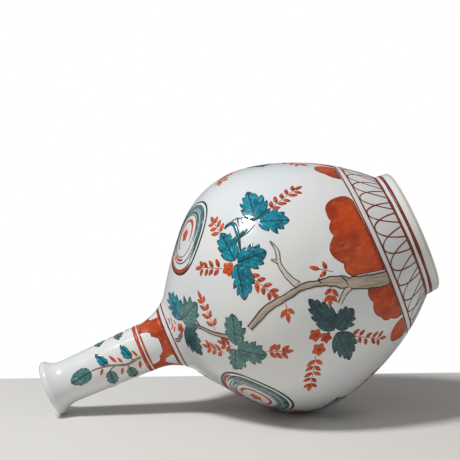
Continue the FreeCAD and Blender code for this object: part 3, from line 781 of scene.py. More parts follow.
def even(route: Sequence[Sequence[float]], pitch: float) -> list[tuple[float, ...]]:
    """Return a smooth row of points through a route, a pitch apart.

    Args:
        route: Rough points; the first two values are mm round and up, any others ride along.
        pitch: Distance between the points returned, in mm.

    Returns:
        Points on a Catmull-Rom curve through the route.
    """
    rough = [Vector(point).resized(len(route[0])) for point in route]
    padded = [rough[0] * 2 - rough[1], *rough, rough[-1] * 2 - rough[-2]]
    points: list[tuple[float, ...]] = []
    for before, start, end, after in zip(padded, padded[1:], padded[2:], padded[3:]):
        count = max(1, math.ceil((end - start).resized(2).length / pitch))
        for i in range(count):
            t = i / count
            square = (2 * before - 5 * start + 4 * end - after) * t ** 2
            cube = (3 * start - before - 3 * end + after) * t ** 3
            points.append(tuple(0.5 * (2 * start + (end - before) * t + square + cube)))
    points.append(tuple(rough[-1]))
    return points


@dataclass
class GlazeCoats:
    """The clear glaze outside, inside and under the floor, and the clay it covers."""

    shape: Outline
    bare_h: float = 1.2
    foot_w: float = 6.5
    turns: int = 256

    def spun(self, section: list[Vector], steps: int) -> bpy.types.Mesh:
        """Spin a closed section round the axis.

        Args:
            section: Points of the section in order, in mm; the last joins the first.
            steps: Number of steps in the turn.

        Returns:
            A closed mesh with its faces outwards.
        """
        sheet = bmesh.new()
        verts = [sheet.verts.new((point.x * MM, 0.0, point.y * MM)) for point in section]
        edges = [sheet.edges.new(pair) for pair in zip(verts, [*verts[1:], verts[0]])]
        bmesh.ops.spin(sheet, geom=verts + edges, cent=(0, 0, 0), axis=(0, 0, 1), angle=math.tau,
                       steps=steps, use_merge=True, use_duplicate=False)
        bmesh.ops.remove_doubles(sheet, verts=sheet.verts, dist=1e-6)
        bmesh.ops.dissolve_degenerate(sheet, edges=sheet.edges, dist=1e-7)
        bmesh.ops.recalc_face_normals(sheet, faces=sheet.faces)
        data = bpy.data.meshes.new("spun")
        sheet.to_mesh(data)
        sheet.free()
        return data

    def build(self, nodes: dict[str, bpy.types.Object]) -> None:
        """Make the three coats and dress the clay.

        Args:
            nodes: The frame's CAD nodes by name.
        """
        shape = self.shape
        glaze = GLAZE.build()
        outer = shape.outside_points(self.bare_h, shape.total_s, 1.4, 0.0)
        under = shape.outside_points(self.bare_h, shape.total_s, 3.2, -shape.glaze_t)
        outside = self.spun(outer + under[::-1], self.turns)
        adopt("outer_glaze_coat", outside, glaze, Slot.GLAZE, "outer_glaze")
        coat = shape.inside_points(shape.glaze_t, 2.6)
        clay = shape.inside_points(0.0, 4.0)
        inside = self.spun(coat + clay[::-1], self.turns // 2)
        adopt("inner_glaze_coat", inside, glaze, Slot.GLAZE, "inner_glaze")
        base = self.spun(self.base_section(), self.turns // 2)
        adopt("base_glaze_coat", base, glaze, Slot.GLAZE, "base_glaze")
        clays = (("foot_ring", "lower_bowl", "shoulder", "neck_and_lip"), BISQUE.build())
        slips = (("foot_slip", "belly_slip", "neck_slip"), SLIP.build())
        for names, finish in (clays, slips):
            for name in names:
                nodes[name].data.materials.clear()
                nodes[name].data.materials.append(finish)
        LOG.info("glaze coats and clay dressed")

    def base_section(self) -> list[Vector]:
        """Return the section of the glaze under the floor, which creeps down the foot ring's inside."""
        rim = self.shape.foot_r - self.foot_w
        top = self.shape.foot_h
        low = top - self.shape.glaze_t
        places = ((0.0, low), (rim * 0.5, low - 0.1), (rim - 1.2, low), (rim - 0.3, low - 0.8),
                  (rim, low - 1.6), (rim, top), (0.0, top))
        return [Vector(place) for place in places]


# Edges of the clear clouds in the collar: degrees round, and mm down from its top or up from its hem
COLLAR_DIPS = ((-139.4, 0), (-138.6, 2.2), (-135, 4.4), (-128, 5.4), (-122.5, 5.3), (-118, 7.2),
               (-110.8, 8.9), (-95, 9.4), (-83, 9.3), (-76.6, 7.2), (-72, 5.6), (-64, 5.8), (-58.6, 4.4),
               (-54.4, 1.6), (-53.6, 0))
COLLAR_RISES = ((-41, 0), (-39.5, 1.2), (-35, 3.6), (-30, 5.8), (-22, 7.0), (-14, 6.0), (-8, 3.4), (-5, 1.0),
                (-4, 0))


@dataclass
class Bands:
    """Painted rings, the lappet band, the clouds on it and the collar at the neck's root."""

    shape: Outline
    foot_line_s: float = 5.2
    thin_w: float = 1.1
    thick_w: float = 1.9
    bowl_band_gap: float = 0.3
    bowl_band_w: float = 2.4
    lappet_low: float = 2.8
    bowl_line_s: float = 22.3
    bowl_line_gap: float = 5.0
    collar_low: float = 14.8
    collar_high: float = 1.2
    collar_line_drop: float = 18.7
    neck_line_s: float = 1.3
    neck_band_s: float = 3.2
    neck_band_w: float = 2.2
    lappets: int = 30
    lappet_half: float = 9.8
    columns: int = 300
    seam: float = 2e-6
    hem: float = 1.7
    lappet_start: float = -93.2
    lappet_points: int = 28

    def ring(self, brush: Brush, low: float, width: float, seed: float, lift: float = 0.07) -> None:
        """Draw a ring round the bottle, a little unsteady, as a brush held still on a turning pot does."""
        sheet = bmesh.new()
        bmesh.ops.create_grid(sheet, x_segments=self.columns, y_segments=2, size=0.5)
        edge, _, _, height = (sheet.verts.layers.float.new(name) for name in LAYERS)
        for vert in sheet.verts:
            turn = vert.co.x * math.tau
            there = Vector((math.cos(turn), math.sin(turn), seed)) * 1.7
            half = width / 2 * (1 + 0.32 * noise.noise(there * 2.3))
            middle = low + width / 2 + 0.16 * noise.noise(there)
            side = vert.co.y * 2
            vert[edge] = half * (1 - abs(side))
            vert[height] = lift + 0.03 * (1 - side * side)
            vert.co = (math.degrees(turn), middle + half * side, 0.0)
        brush.settle(sheet, height, Spot, self.seam)

    def arch(self, brush: Brush, index: int) -> None:
        """Draw one lappet: a pointed-oval arch open at its foot."""
        low = self.shape.foot_len + self.lappet_low
        tall = self.bowl_line_s - self.lappet_low
        centre = Spot(self.lappet_start + index * 360 / self.lappets, low)
        half = math.radians(self.lappet_half)
        dabs = []
        for i in range(self.lappet_points + 1):
            t = -1 + 2 * i / self.lappet_points
            y = tall * (1 - abs(t) ** 2) * (1 + wander(index, t, 0.02))
            x = half * math.copysign(abs(t) ** 0.92, t) * self.shape.section(low + y)[0].x
            dabs.append(Dab(x + wander(index + 40, t * 0.8, 1.1), y, 0.42 + wander(index, t * 3, 0.13)))
        brush.stroke(centre, dabs, 0.06 + 0.012 * (index % 3), 0.02)

    def build(self) -> None:
        """Paint the bands."""
        shape = self.shape
        line, field_red, ring_red = RED_LINE.build(), RED_FIELD.build(), RED_RING.build()
        high = shape.foot_len + self.bowl_line_s
        neck = shape.neck_s
        upper = high + self.bowl_line_gap - self.thin_w
        rings = [("foot_line", self.foot_line_s, self.thick_w, line, Slot.LINE_RED),
                 ("foot_band", shape.foot_len + self.bowl_band_gap, self.bowl_band_w, line, Slot.LINE_RED),
                 ("bowl_line_low", high, self.thin_w, line, Slot.LINE_RED),
                 ("bowl_line_high", upper, self.thin_w, line, Slot.LINE_RED),
                 ("collar_line", neck - self.collar_line_drop, self.thin_w, line, Slot.LINE_RED),
                 ("neck_line", neck + self.neck_line_s, self.thin_w, ring_red, Slot.LINE_RED),
                 ("neck_band", neck + self.neck_band_s, self.neck_band_w, ring_red, Slot.IRON_RED)]
        for seed, (node, low, width, finish, slot) in enumerate(rings):
            brush = Brush(shape)
            self.ring(brush, low, width, seed + 0.4)
            brush.finish(f"painted_{node}", finish, slot, node)
        brush = Brush(shape)
        self.ring(brush, neck - self.collar_low - 0.2, self.thin_w, 8.3, 0.13)
        brush.finish("painted_collar_edge", line, Slot.LINE_RED)
        brush = Brush(shape)
        for index in range(self.lappets):
            self.arch(brush, index)
        brush.finish("painted_lappets", line, Slot.LINE_RED, "lappet_lines")
        self.collar(field_red)

    def collar(self, finish: bpy.types.Material) -> None:
        """Paint the red collar: a plain hem, and above it a field whose edges dip and rise."""
        brush = Brush(self.shape)
        top, bottom = self.shape.neck_s + self.collar_high, self.shape.neck_s - self.collar_low
        self.collar_strip(brush, bottom, bottom + self.hem, 2, 0.0)
        self.collar_strip(brush, bottom + self.hem, top, 10, 0.05)
        brush.finish("painted_collar", finish, Slot.IRON_RED, "collar_panel")

    def collar_strip(self, brush: Brush, low: float, high: float, rows: int, dome: float) -> None:
        """Lay one strip of the collar.

        Args:
            brush: Brush that lays it.
            low: Length up the outside of its lower edge, in mm.
            high: Length up the outside of its upper edge, in mm.
            rows: Faces from edge to edge.
            dome: How much higher its middle lies in mm, or 0 for the hem, whose edges run level.
        """
        sheet = bmesh.new()
        bmesh.ops.create_grid(sheet, x_segments=self.columns * 2, y_segments=rows, size=0.5)
        edge, _, _, height = (sheet.verts.layers.float.new(name) for name in LAYERS)
        for vert in sheet.verts:
            angle = vert.co.x * 360
            upper = high - (self.level(COLLAR_DIPS, angle) if dome else 0.0)
            lower = low + (self.level(COLLAR_RISES, angle) if dome else wander(3.7, angle * 0.05, 0.3))
            share = vert.co.y + 0.5
            nearest = min(share, 1 - share)
            vert[height] = 0.07 + dome * min(1.0, (upper - lower) * nearest)
            if not dome:
                nearest = share
            elif lower - low < 0.05:
                nearest = 1 - share
            vert[edge] = (upper - lower) * nearest
            vert.co = (angle, lower + (upper - lower) * share, 0.0)
        brush.settle(sheet, height, Spot, self.seam)

    @staticmethod
    def level(points: Sequence[tuple[float, float]], angle: float) -> float:
        """Return the height of a dipped edge at an angle, on whichever repeat it lies."""
        first = points[0][0]
        local = (angle - first) % 120 + first
        for (a, low), (b, high) in zip(points, points[1:]):
            if a <= local <= b:
                share = (local - a) / (b - a)
                return low + (high - low) * share * share * (3 - 2 * share)
        return 0.0


class LeafForm(Enum):
    """Edge of a leaf on its left and right: shares of length and half width at teeth and notches."""

    ARROW = (((0, 0.04), (0.46, 1.0), (0.43, 0.78), (0.66, 0.88),
              (0.62, 0.62), (0.84, 0.56), (0.80, 0.38), (1, 0)),
             ((0, 0.04), (0.52, 1.05), (0.47, 0.80), (0.74, 0.74),
              (0.69, 0.5), (0.88, 0.4), (0.84, 0.28), (1, 0)))
    LOBED = (((0, 0.05), (0.40, 0.98), (0.41, 0.74), (0.66, 1.0),
              (0.64, 0.66), (0.86, 0.66), (0.84, 0.42), (1, 0)),
             ((0, 0.05), (0.34, 0.88), (0.36, 0.66), (0.62, 1.02),
              (0.60, 0.64), (0.82, 0.74), (0.80, 0.46), (1, 0)))
    FAN = (((0, 0.04), (0.40, 1.0), (0.42, 0.66), (0.62, 1.04),
            (0.60, 0.54), (0.86, 0.72), (0.80, 0.34), (1, 0)),
           ((0, 0.04), (0.44, 1.06), (0.45, 0.70), (0.66, 0.96),
            (0.63, 0.5), (0.84, 0.62), (0.80, 0.32), (1, 0)))
    OVAL = (((0, 0.1), (0.30, 0.94), (0.29, 0.86), (0.52, 1.0),
             (0.51, 0.9), (0.74, 0.84), (0.72, 0.74), (1, 0)),
            ((0, 0.1), (0.34, 0.96), (0.33, 0.88), (0.56, 0.96),
             (0.55, 0.86), (0.78, 0.76), (0.76, 0.66), (1, 0)))
    BLADE = (((0, 0.06), (0.36, 1.0), (0.40, 0.8), (0.64, 0.72), (0.66, 0.54), (1, 0)),
             ((0, 0.06), (0.34, 0.46), (0.36, 0.44), (1, 0)))


@dataclass
class Picture:
    """The branch with its leaves, sprigs and blossoms, painted three times round the body."""

    shape: Outline
    repeats: int = 3
    field_low: float = 36.0
    field_high: float = 190.1
    leaf_lift: float = 0.06
    leaf_dome: float = 0.12
    leaf_pitch: float = 1.3
    tooth_waver: float = 0.2
    tooth_swell: float = 0.12
    stalk_swell: float = 0.17
    leaflet_half: float = 1.3
    leaflet_l: float = 5.8
    leaflet_lean: float = math.radians(48)
    stalk_foot: float = 0.5
    stalk_tip: float = 0.4
    bands: Bands = field(init=False)

    def __post_init__(self) -> None:
        """Take the bands' places."""
        self.bands = Bands(self.shape)

    def on_field(self, angle: float, s: float, repeat: int = 0) -> Spot:
        """Return the spot of a place on the painter's grid."""
        low = self.shape.foot_len + self.bands.bowl_line_s + self.bands.bowl_line_gap
        high = self.shape.neck_s - self.bands.collar_line_drop
        share = (s - self.field_low) / (self.field_high - self.field_low)
        return Spot(angle + 360 / self.repeats * repeat, low + share * (high - low))

    def leaf(self, brush: Brush, start: Spot, end: Spot, half: float, form: LeafForm, seed: int) -> None:
        """Lay one toothed leaf from its stalk to its tip.

        Args:
            brush: Brush that lays it.
            start: Where its stalk joins it.
            end: Its tip.
            half: Half its width in mm.
            form: Its kind of edge.
            seed: Number that tells this leaf from the others.
        """
        run = self.shape.between(start, end)
        size = run.length
        along = math.atan2(run.y, run.x)
        bend = wander(seed + 9, 0.4, 0.16) * size * 0.6
        turn = Matrix.Rotation(along, 2)
        left = self.leaf_edge(size, half, form, seed, 1)
        right = self.leaf_edge(size, half, form, seed, -1)
        outline = [tuple(turn @ (point + Vector((0, bend * math.sin(math.pi * point.x / size)))))
                   for point in left + right[-2:0:-1]]
        brush.blob(start, outline, self.leaf_lift + 0.035 * (seed % 4), self.leaf_dome, along)

    def leaf_edge(self, size: float, half: float, form: LeafForm, seed: int, side: int) -> list[Vector]:
        """Return one edge of a leaf from stalk to tip: swelling to each tooth, straight into each notch."""
        shares = form.value[0 if side > 0 else 1]
        joints = []
        for i, (t, w) in enumerate(shares):
            width = w * half * (1 + wander(seed + side * 3, i * 1.9, self.tooth_waver))
            joints.append(Vector((t * size, width * side)))
        points: list[Vector] = []
        for index, (a, b) in enumerate(zip(joints, joints[1:])):
            out = Vector((a.y - b.y, b.x - a.x)) * side
            swell = 0.0 if index % 2 else self.tooth_swell
            if index == 0:
                swell = self.stalk_swell
            count = max(1, round((b - a).length / self.leaf_pitch))
            points += [a.lerp(b, i / count) + out * swell * 4 * (i / count) * (1 - i / count)
                       for i in range(count)]
        return [*points, joints[-1]]

    def leaflet(self, brush: Brush, start: Spot, end: Spot, half: float, lift: float = 0.08) -> None:
        """Lay one small pointed leaflet or petal, fuller towards its tip."""
        run = self.shape.between(start, end)
        size = run.length
        turn = Matrix.Rotation(math.atan2(run.y, run.x), 2)
        count = 7
        widths = [half * math.sin(math.pi * (i / count) ** 0.86) ** 0.8 for i in range(count)]
        outline = [(size * i / count, widths[i]) for i in range(count)]
        outline += [(size * (count - i) / count, -widths[count - i] if i else 0.0) for i in range(count)]
        brush.blob(start, [tuple(turn @ Vector(point)) for point in outline], lift, 0.05)

    def sprig(self, brush: Brush, start: Spot, end: Spot, pairs: int) -> None:
        """Paint a red sprig: a thin stalk with leaflets in pairs and one at its end."""
        run = self.shape.between(start, end)
        size = run.length
        heading = math.atan2(run.y, run.x)
        dabs = [Dab(run.x * i / 16, run.y * i / 16, 0.22) for i in range(14)]
        brush.stroke(start, dabs, 0.05, 0.01)
        for pair in range(pairs):
            share = (pair + self.stalk_foot) / (pairs + self.stalk_tip) * (1 - self.leaflet_l * 0.7 / size)
            base = self.shape.spread(start, run.x * share, run.y * share)
            grow = 1.05 - 0.12 * share
            for side in (-1, 1):
                way = heading + side * (self.leaflet_lean + wander(start.angle + pair, side * 2.2, 0.4))
                foot = self.shape.spread(base, math.cos(way) * 0.6, math.sin(way) * 0.6)
                reach = self.leaflet_l * grow * (1 + wander(start.s + pair, side * 1.3, 0.25))
                tip = self.shape.spread(base, math.cos(way) * reach, math.sin(way) * reach)
                self.leaflet(brush, foot, tip, self.leaflet_half * grow)
        tip_share = 1 - self.leaflet_l * 1.1 / size
        foot = self.shape.spread(start, run.x * tip_share, run.y * tip_share)
        self.leaflet(brush, foot, end, self.leaflet_half)

    def branch(self, brush: Brush, route: Sequence[tuple[float, float, float]], repeat: int,
               lift: float = 0.17) -> None:
        """Paint a stretch of branch through rough points with half widths."""
        spots = [self.on_field(angle, s, repeat) for angle, s, _ in route]
        points = even(self.run_of(spots, [half for _, _, half in route]), 1.4)
        dabs = [Dab(x, y, max(0.15, half * (1.1 + wander(repeat + 0.3, y * 0.28 + x * 0.2, 0.3))))
                for x, y, half in points]
        brush.stroke(spots[0], dabs, lift, 0.03, 10)

    def run_of(self, spots: Sequence[Spot], halves: Sequence[float]) -> list[tuple[float, float, float]]:
        """Return spots with half widths as mm round and up from the first of them."""
        start = spots[0]
        return [(math.radians(spot.angle - start.angle) * self.shape.section(spot.s)[0].x,
                 spot.s - start.s, half) for spot, half in zip(spots, halves)]

    def line(self, brush: Brush, route: Sequence[tuple[float, float, float]], repeat: int,
             lift: float = 0.08, dome: float = 0.03) -> None:
        """Draw a line through rough places on the painter's grid, with half widths."""
        start = self.on_field(route[0][0], route[0][1], repeat)
        rough = []
        for angle, s, half in route:
            run = self.shape.between(start, self.on_field(angle, s, repeat))
            rough.append((run.x, run.y, half))
        brush.stroke(start, [Dab(*point) for point in even(rough, 0.9)], lift, dome)

    def blossom(self, brush: Brush, centre: Spot, length: float) -> None:
        """Paint a five-petalled blossom."""
        for index in range(5):
            way = math.pi / 2 + math.tau * index / 5
            tip = self.shape.spread(centre, math.cos(way) * length, math.sin(way) * length)
            foot = self.shape.spread(centre, math.cos(way) * length * 0.1, math.sin(way) * length * 0.1)
            self.leaflet(brush, foot, tip, length * 0.4, 0.08 + 0.012 * index)
        heart = [self.shape.spread(centre, length * share, 0.0) for share in (-0.3, 0.3)]
        self.leaflet(brush, *heart, length * 0.28, 0.15)

    def cloud(self, brush: Brush, notches: Sequence[tuple[float, float, float]], repeat: int) -> None:
        """Paint one red cloud that stands on the bowl's upper line.

        Args:
            brush: Brush that lays it.
            notches: Angle and height of each notch between scallops, and the bulge that follows it.
            repeat: Number of the picture's repeat.
        """
        places = [self.on_field(angle, s, repeat) for angle, s, _ in notches]
        angle = sum(place.angle for place in places) / len(places)
        centre = Spot(angle, sum(place.s for place in places) / len(places))
        rough = [Vector((math.radians(place.angle - angle) * self.shape.section(place.s)[0].x,
                         place.s - centre.s)) for place in places]
        outline = []
        for (_, _, bulge), start, end in zip(notches, rough, rough[1:] + rough[:1]):
            chord = end - start
            out = Vector((-chord.y, chord.x)) * bulge * 4
            count = max(2, math.ceil(chord.length / 1.4))
            outline += [tuple(start + chord * i / count + out * (i / count) * (1 - i / count))
                        for i in range(count)]
        brush.blob(centre, outline, 0.06, 0.07)

    def build(self) -> None:
        """Paint the picture."""
        arrow, lobed, fan = LeafForm.ARROW, LeafForm.LOBED, LeafForm.FAN
        teal = [((-72.4, 115.6), (-88.5, 119.8), 6.8, lobed), ((-72.2, 114.8), (-73.6, 97.4), 8.0, lobed),
                ((-70.7, 115.6), (-54.8, 117.0), 6.4, lobed), ((-58.1, 95.7), (-40.2, 93.4), 7.6, arrow),
                ((-59.2, 95.2), (-63.4, 78.2), 8.2, lobed), ((-79.4, 174.6), (-41.0, 177.2), 7.4, fan)]
        # These leaves take the teal enamel darkened to grey-green as painted shade.
        green = [((-110.4, 138.8), (-124.6, 147.2), 6.4, lobed),
                 ((-110.4, 137.6), (-116.0, 120.8), 8.2, lobed),
                 ((-108.2, 137.2), (-91.2, 130.4), 6.8, lobed),
                 ((-79.6, 174.2), (-76.4, 153.4), 9.6, fan)]
        # These leaves take the teal enamel darkened to dark green as deeper painted shade.
        dark = [((-118.4, 79.4), (-136.0, 78.6), 7.6, arrow), ((-116.8, 80.2), (-98.5, 86.8), 6.6, arrow),
                ((-116.6, 79.0), (-112.8, 64.8), 7.2, lobed), ((-86.8, 173.4), (-118.7, 169.6), 7.4, arrow)]
        for name, leaves, finish, slot in (("teal_leaves", teal, TEAL_LEAF, Slot.TEAL),
                                           ("green_leaves", green, PAINTED_SHADE_TEAL_LEAF, Slot.GREEN),
                                           ("dark_leaves", dark, PAINTED_DEEP_SHADE_TEAL_LEAF, Slot.DARK_GREEN)):
            brush = Brush(self.shape)
            for repeat in range(self.repeats):
                for index, (start, end, half, form) in enumerate(leaves):
                    self.leaf(brush, self.on_field(*start, repeat), self.on_field(*end, repeat), half, form,
                              index + 10 * repeat)
                if slot is Slot.TEAL:
                    self.curled_leaf(brush, repeat)
            brush.finish(f"painted_{name}", finish.build(), slot, name)
        self.paint_branch()
        self.paint_reds()

    def curled_leaf(self, brush: Brush, repeat: int) -> None:
        """Paint the leaf that curls over: an enamelled upper rim and patch round bare glaze."""
        for route in ([(-68, 110.6, 0.5), (-62.4, 108.8, 1.1), (-56, 107.7, 1.3), (-53.6, 109.4, 1.2),
                       (-53.5, 112.2, 1.0), (-54.4, 114, 0.4)],
                      [(-61.6, 107.8, 0.8), (-60.9, 105, 1.2), (-60.2, 102, 0.8)],
                      [(-57.4, 105.4, 0.2), (-55, 105.2, 0.5), (-52.4, 104.6, 0.3)],
                      [(-58.6, 103.4, 0.2), (-56.6, 103.0, 0.45), (-54.2, 103.2, 0.2)]):
            self.line(brush, route, repeat, 0.09, 0.09)

    def paint_branch(self) -> None:
        """Paint the branch and its twigs."""
        trunk = [[(-109, 36.2, 3.2), (-108.5, 40, 3.6), (-104.9, 50, 3.7), (-101.1, 60, 3.3),
                  (-96.4, 70.2, 2.7), (-94.4, 79, 2.0), (-93.2, 87, 2.1), (-94, 96, 1.8), (-95.4, 109, 1.8),
                  (-98.6, 118, 1.9), (-101, 124, 1.6)],
                 [(-103, 139.5, 1.4), (-100, 148, 1.3), (-97.7, 152.8, 1.2), (-93.4, 158.6, 1.1),
                  (-91, 163, 0.9), (-90.2, 167, 0.7)],
                 [(-99, 189.2, 1.0), (-98, 185.8, 1.0), (-94.4, 183.2, 0.9), (-93, 180.4, 0.8)]]
        twigs = [[(-102.2, 60.5, 1.8), (-103.8, 66, 1.5), (-107, 71.4, 1.2)],
                 [(-91.6, 89.0, 1.8), (-89, 91, 1.6), (-85, 92.9, 1.4), (-80, 93.7, 1.2), (-75, 92.0, 1.1),
                  (-69.8, 93.4, 0.5)],
                 [(-79.8, 93.9, 0.9), (-77.4, 96.9, 0.5)]]
        knots = [[(-95.2, 76.4, 0.2), (-93.6, 77.2, 0.5), (-92.6, 76.6, 0.3)],
                 [(-101.4, 62.4, 0.2), (-98.8, 62.6, 0.4), (-96.4, 64.4, 0.3)],
                 [(-62.6, 108.2, 0.2), (-61.7, 101.8, 0.3), (-59.8, 97.4, 0.2)],
                 [(-53.0, 109.6, 0.2), (-52.8, 105.6, 0.25), (-54.6, 101.0, 0.25), (-58.4, 96.8, 0.2)]]
        bark = BARK.build()
        for name, routes, finish in (("branch", trunk, bark), ("twigs", twigs, TWIG.build())):
            brush = Brush(self.shape)
            for repeat in range(self.repeats):
                for route in routes:
                    self.branch(brush, route, repeat, 0.17 if finish is bark else 0.15)
            brush.finish(f"painted_{name}", finish, Slot.WASH, name)
        brush = Brush(self.shape)
        for repeat in range(self.repeats):
            for route in knots:
                self.line(brush, route, repeat, 0.2)
        brush.finish("painted_knots", BLACK_LINE.build(), Slot.BLACK)

    def paint_reds(self) -> None:
        """Paint the clouds, blossoms and sprigs."""
        notches = [[(-104.5, 36.2, 0.0), (-98.6, 58.0, 0.2), (-91.4, 59.6, 0.32), (-77.1, 58.2, 0.2),
                    (-69.6, 56.2, 0.3), (-55.2, 44.5, 0.2), (-59.0, 36.2, 0.0)],
                   [(-137.9, 36.2, 0.15), (-132.4, 44.4, 0.2), (-126.6, 50.6, 0.2), (-116.0, 51.8, 0.2),
                    (-106.6, 50.5, 0.0), (-109.6, 36.2, 0.0)],
                   [(-158.8, 36.2, 0.15), (-153.6, 45.0, 0.25), (-141.6, 47.5, 0.15), (-140.8, 36.2, 0.0)]]
        sprigs = [((-113.9, 120.5), (-117.2, 105.5), 3), ((-112.4, 149), (-106.4, 165.5), 3),
                  ((-108.5, 140.4), (-104.2, 151), 2), ((-97.2, 148.4), (-70.6, 148.8), 4),
                  ((-123.6, 95.8), (-142.6, 107.4), 5), ((-122.6, 73.8), (-141, 51.8), 5),
                  ((-92.6, 67.5), (-86.4, 79.4), 1), ((-97.6, 71.4), (-106.4, 77.6), 2),
                  ((-96.6, 99.2), (-104.8, 102), 1), ((-78.4, 112.6), (-94.4, 101), 4),
                  ((-70.8, 124.6), (-59.4, 143.4), 4), ((-56, 117.4), (-42.2, 118.8), 3),
                  ((-55.6, 87.2), (-44.6, 62.4), 5)]
        blossoms = [((-121.4, 92.6), 4.3), ((-114.5, 91.2), 4.1), ((-117.9, 86.2), 3.6),
                    ((-72.4, 121.2), 4.4), ((-86.0, 179.2), 3.5)]
        waves = [[(-86, 187.6, 0.3), (-83, 186.2, 0.55), (-80, 184.6, 0.4)],
                 [(-80.6, 189.0, 0.3), (-77.6, 186.6, 0.55), (-74, 186.0, 0.4)],
                 [(-73.4, 188.4, 0.3), (-67, 187.9, 0.5), (-61.8, 188.2, 0.35)],
                 [(-73.4, 186.0, 0.3), (-69, 185.6, 0.5), (-65.6, 185.8, 0.3)],
                 [(-78.2, 183.2, 0.3), (-75, 182.8, 0.5), (-72.2, 183.0, 0.3)]]
        clouds, flowers, leaflets = Brush(self.shape), Brush(self.shape), Brush(self.shape)
        for repeat in range(self.repeats):
            for cloud in notches:
                self.cloud(clouds, cloud, repeat)
            for wave in waves:
                self.line(leaflets, wave, repeat)
            for centre, length in blossoms:
                self.blossom(flowers, self.on_field(*centre, repeat), length)
            for start, end, pairs in sprigs:
                self.sprig(leaflets, self.on_field(*start, repeat), self.on_field(*end, repeat), pairs)
        sprig_red = SPRIG_RED.build()
        clouds.finish("painted_clouds", RED_FIELD.build(), Slot.IRON_RED, "clouds")
        flowers.finish("painted_blossoms", sprig_red, Slot.IRON_RED, "blossoms")
        leaflets.finish("painted_sprigs", sprig_red, Slot.IRON_RED, "sprigs")


@dataclass
class Roundels:
    """Three roundels of brushed rings on the shoulder, each round a plain painted blossom."""

    picture: Picture
    angle: float = -151.4
    s: float = 141.2

    def arc(self, brush: Brush, centre: Spot, radius: float, half: float, start: float, sweep: float,
            seed: float, lift: float) -> None:
        """Brush part of a ring, thinning at its ends if it isn't whole."""
        count = max(12, round(radius * math.radians(abs(sweep)) / 1.1))
        dabs = []
        for i in range(count + 1):
            t = i / count
            way = math.radians(start + sweep * t)
            fade = 1.0 if abs(sweep) >= 360 else min(1.0, 6 * t + 0.25, 6 * (1 - t) + 0.25)
            r = radius + wander(seed, math.cos(way) * 1.3 + 2, 0.25)
            dabs.append(Dab(r * math.cos(way), r * math.sin(way),
                            half * fade * (1 + wander(seed, math.sin(way) * 2 + 5, 0.35))))
        brush.stroke(centre, dabs, lift, 0.03, 4)

    def build(self) -> None:
        """Paint the rings and blossoms."""
        shape = self.picture.shape
        black, red, green, flower = (Brush(shape) for _ in range(4))
        for repeat in range(self.picture.repeats):
            centre = self.picture.on_field(self.angle, self.s, repeat)
            for radius, half in ((22.3, 0.62), (19.9, 0.2), (16.6, 0.3), (12.9, 0.26)):
                self.arc(black, centre, radius, half, 20 * repeat, 360, repeat + radius, 0.06)
            self.arc(red, centre, 20.8, 0.85, 36, 130, repeat + 3.3, 0.07)
            self.arc(red, centre, 14.6, 0.7, 80, 55, repeat + 2.3, 0.07)
            self.arc(red, centre, 9.2, 0.9, 100, -275, repeat + 5.1, 0.07)
            # These rings take the teal enamel darkened to grey-green as painted shade.
            self.arc(green, centre, 18.5, 1.15, 68, -262, repeat + 6.1, 0.08)
            self.arc(green, centre, 14.7, 0.95, 76, -240, repeat + 7.7, 0.08)
            self.picture.blossom(flower, centre, 4.2)
        black.finish("painted_roundel_black_rings", BLACK_LINE.build(), Slot.BLACK, "roundel_black_rings")
        red.finish("painted_roundel_red_rings", RED_RING.build(), Slot.LINE_RED, "roundel_red_rings")
        green.finish("painted_roundel_teal_rings_painted_shade", PAINTED_SHADE_TEAL_RING.build(), Slot.GREEN, "roundel_green_rings")
        flower.finish("painted_roundel_flowers", SPRIG_RED.build(), Slot.IRON_RED, "roundel_flowers")


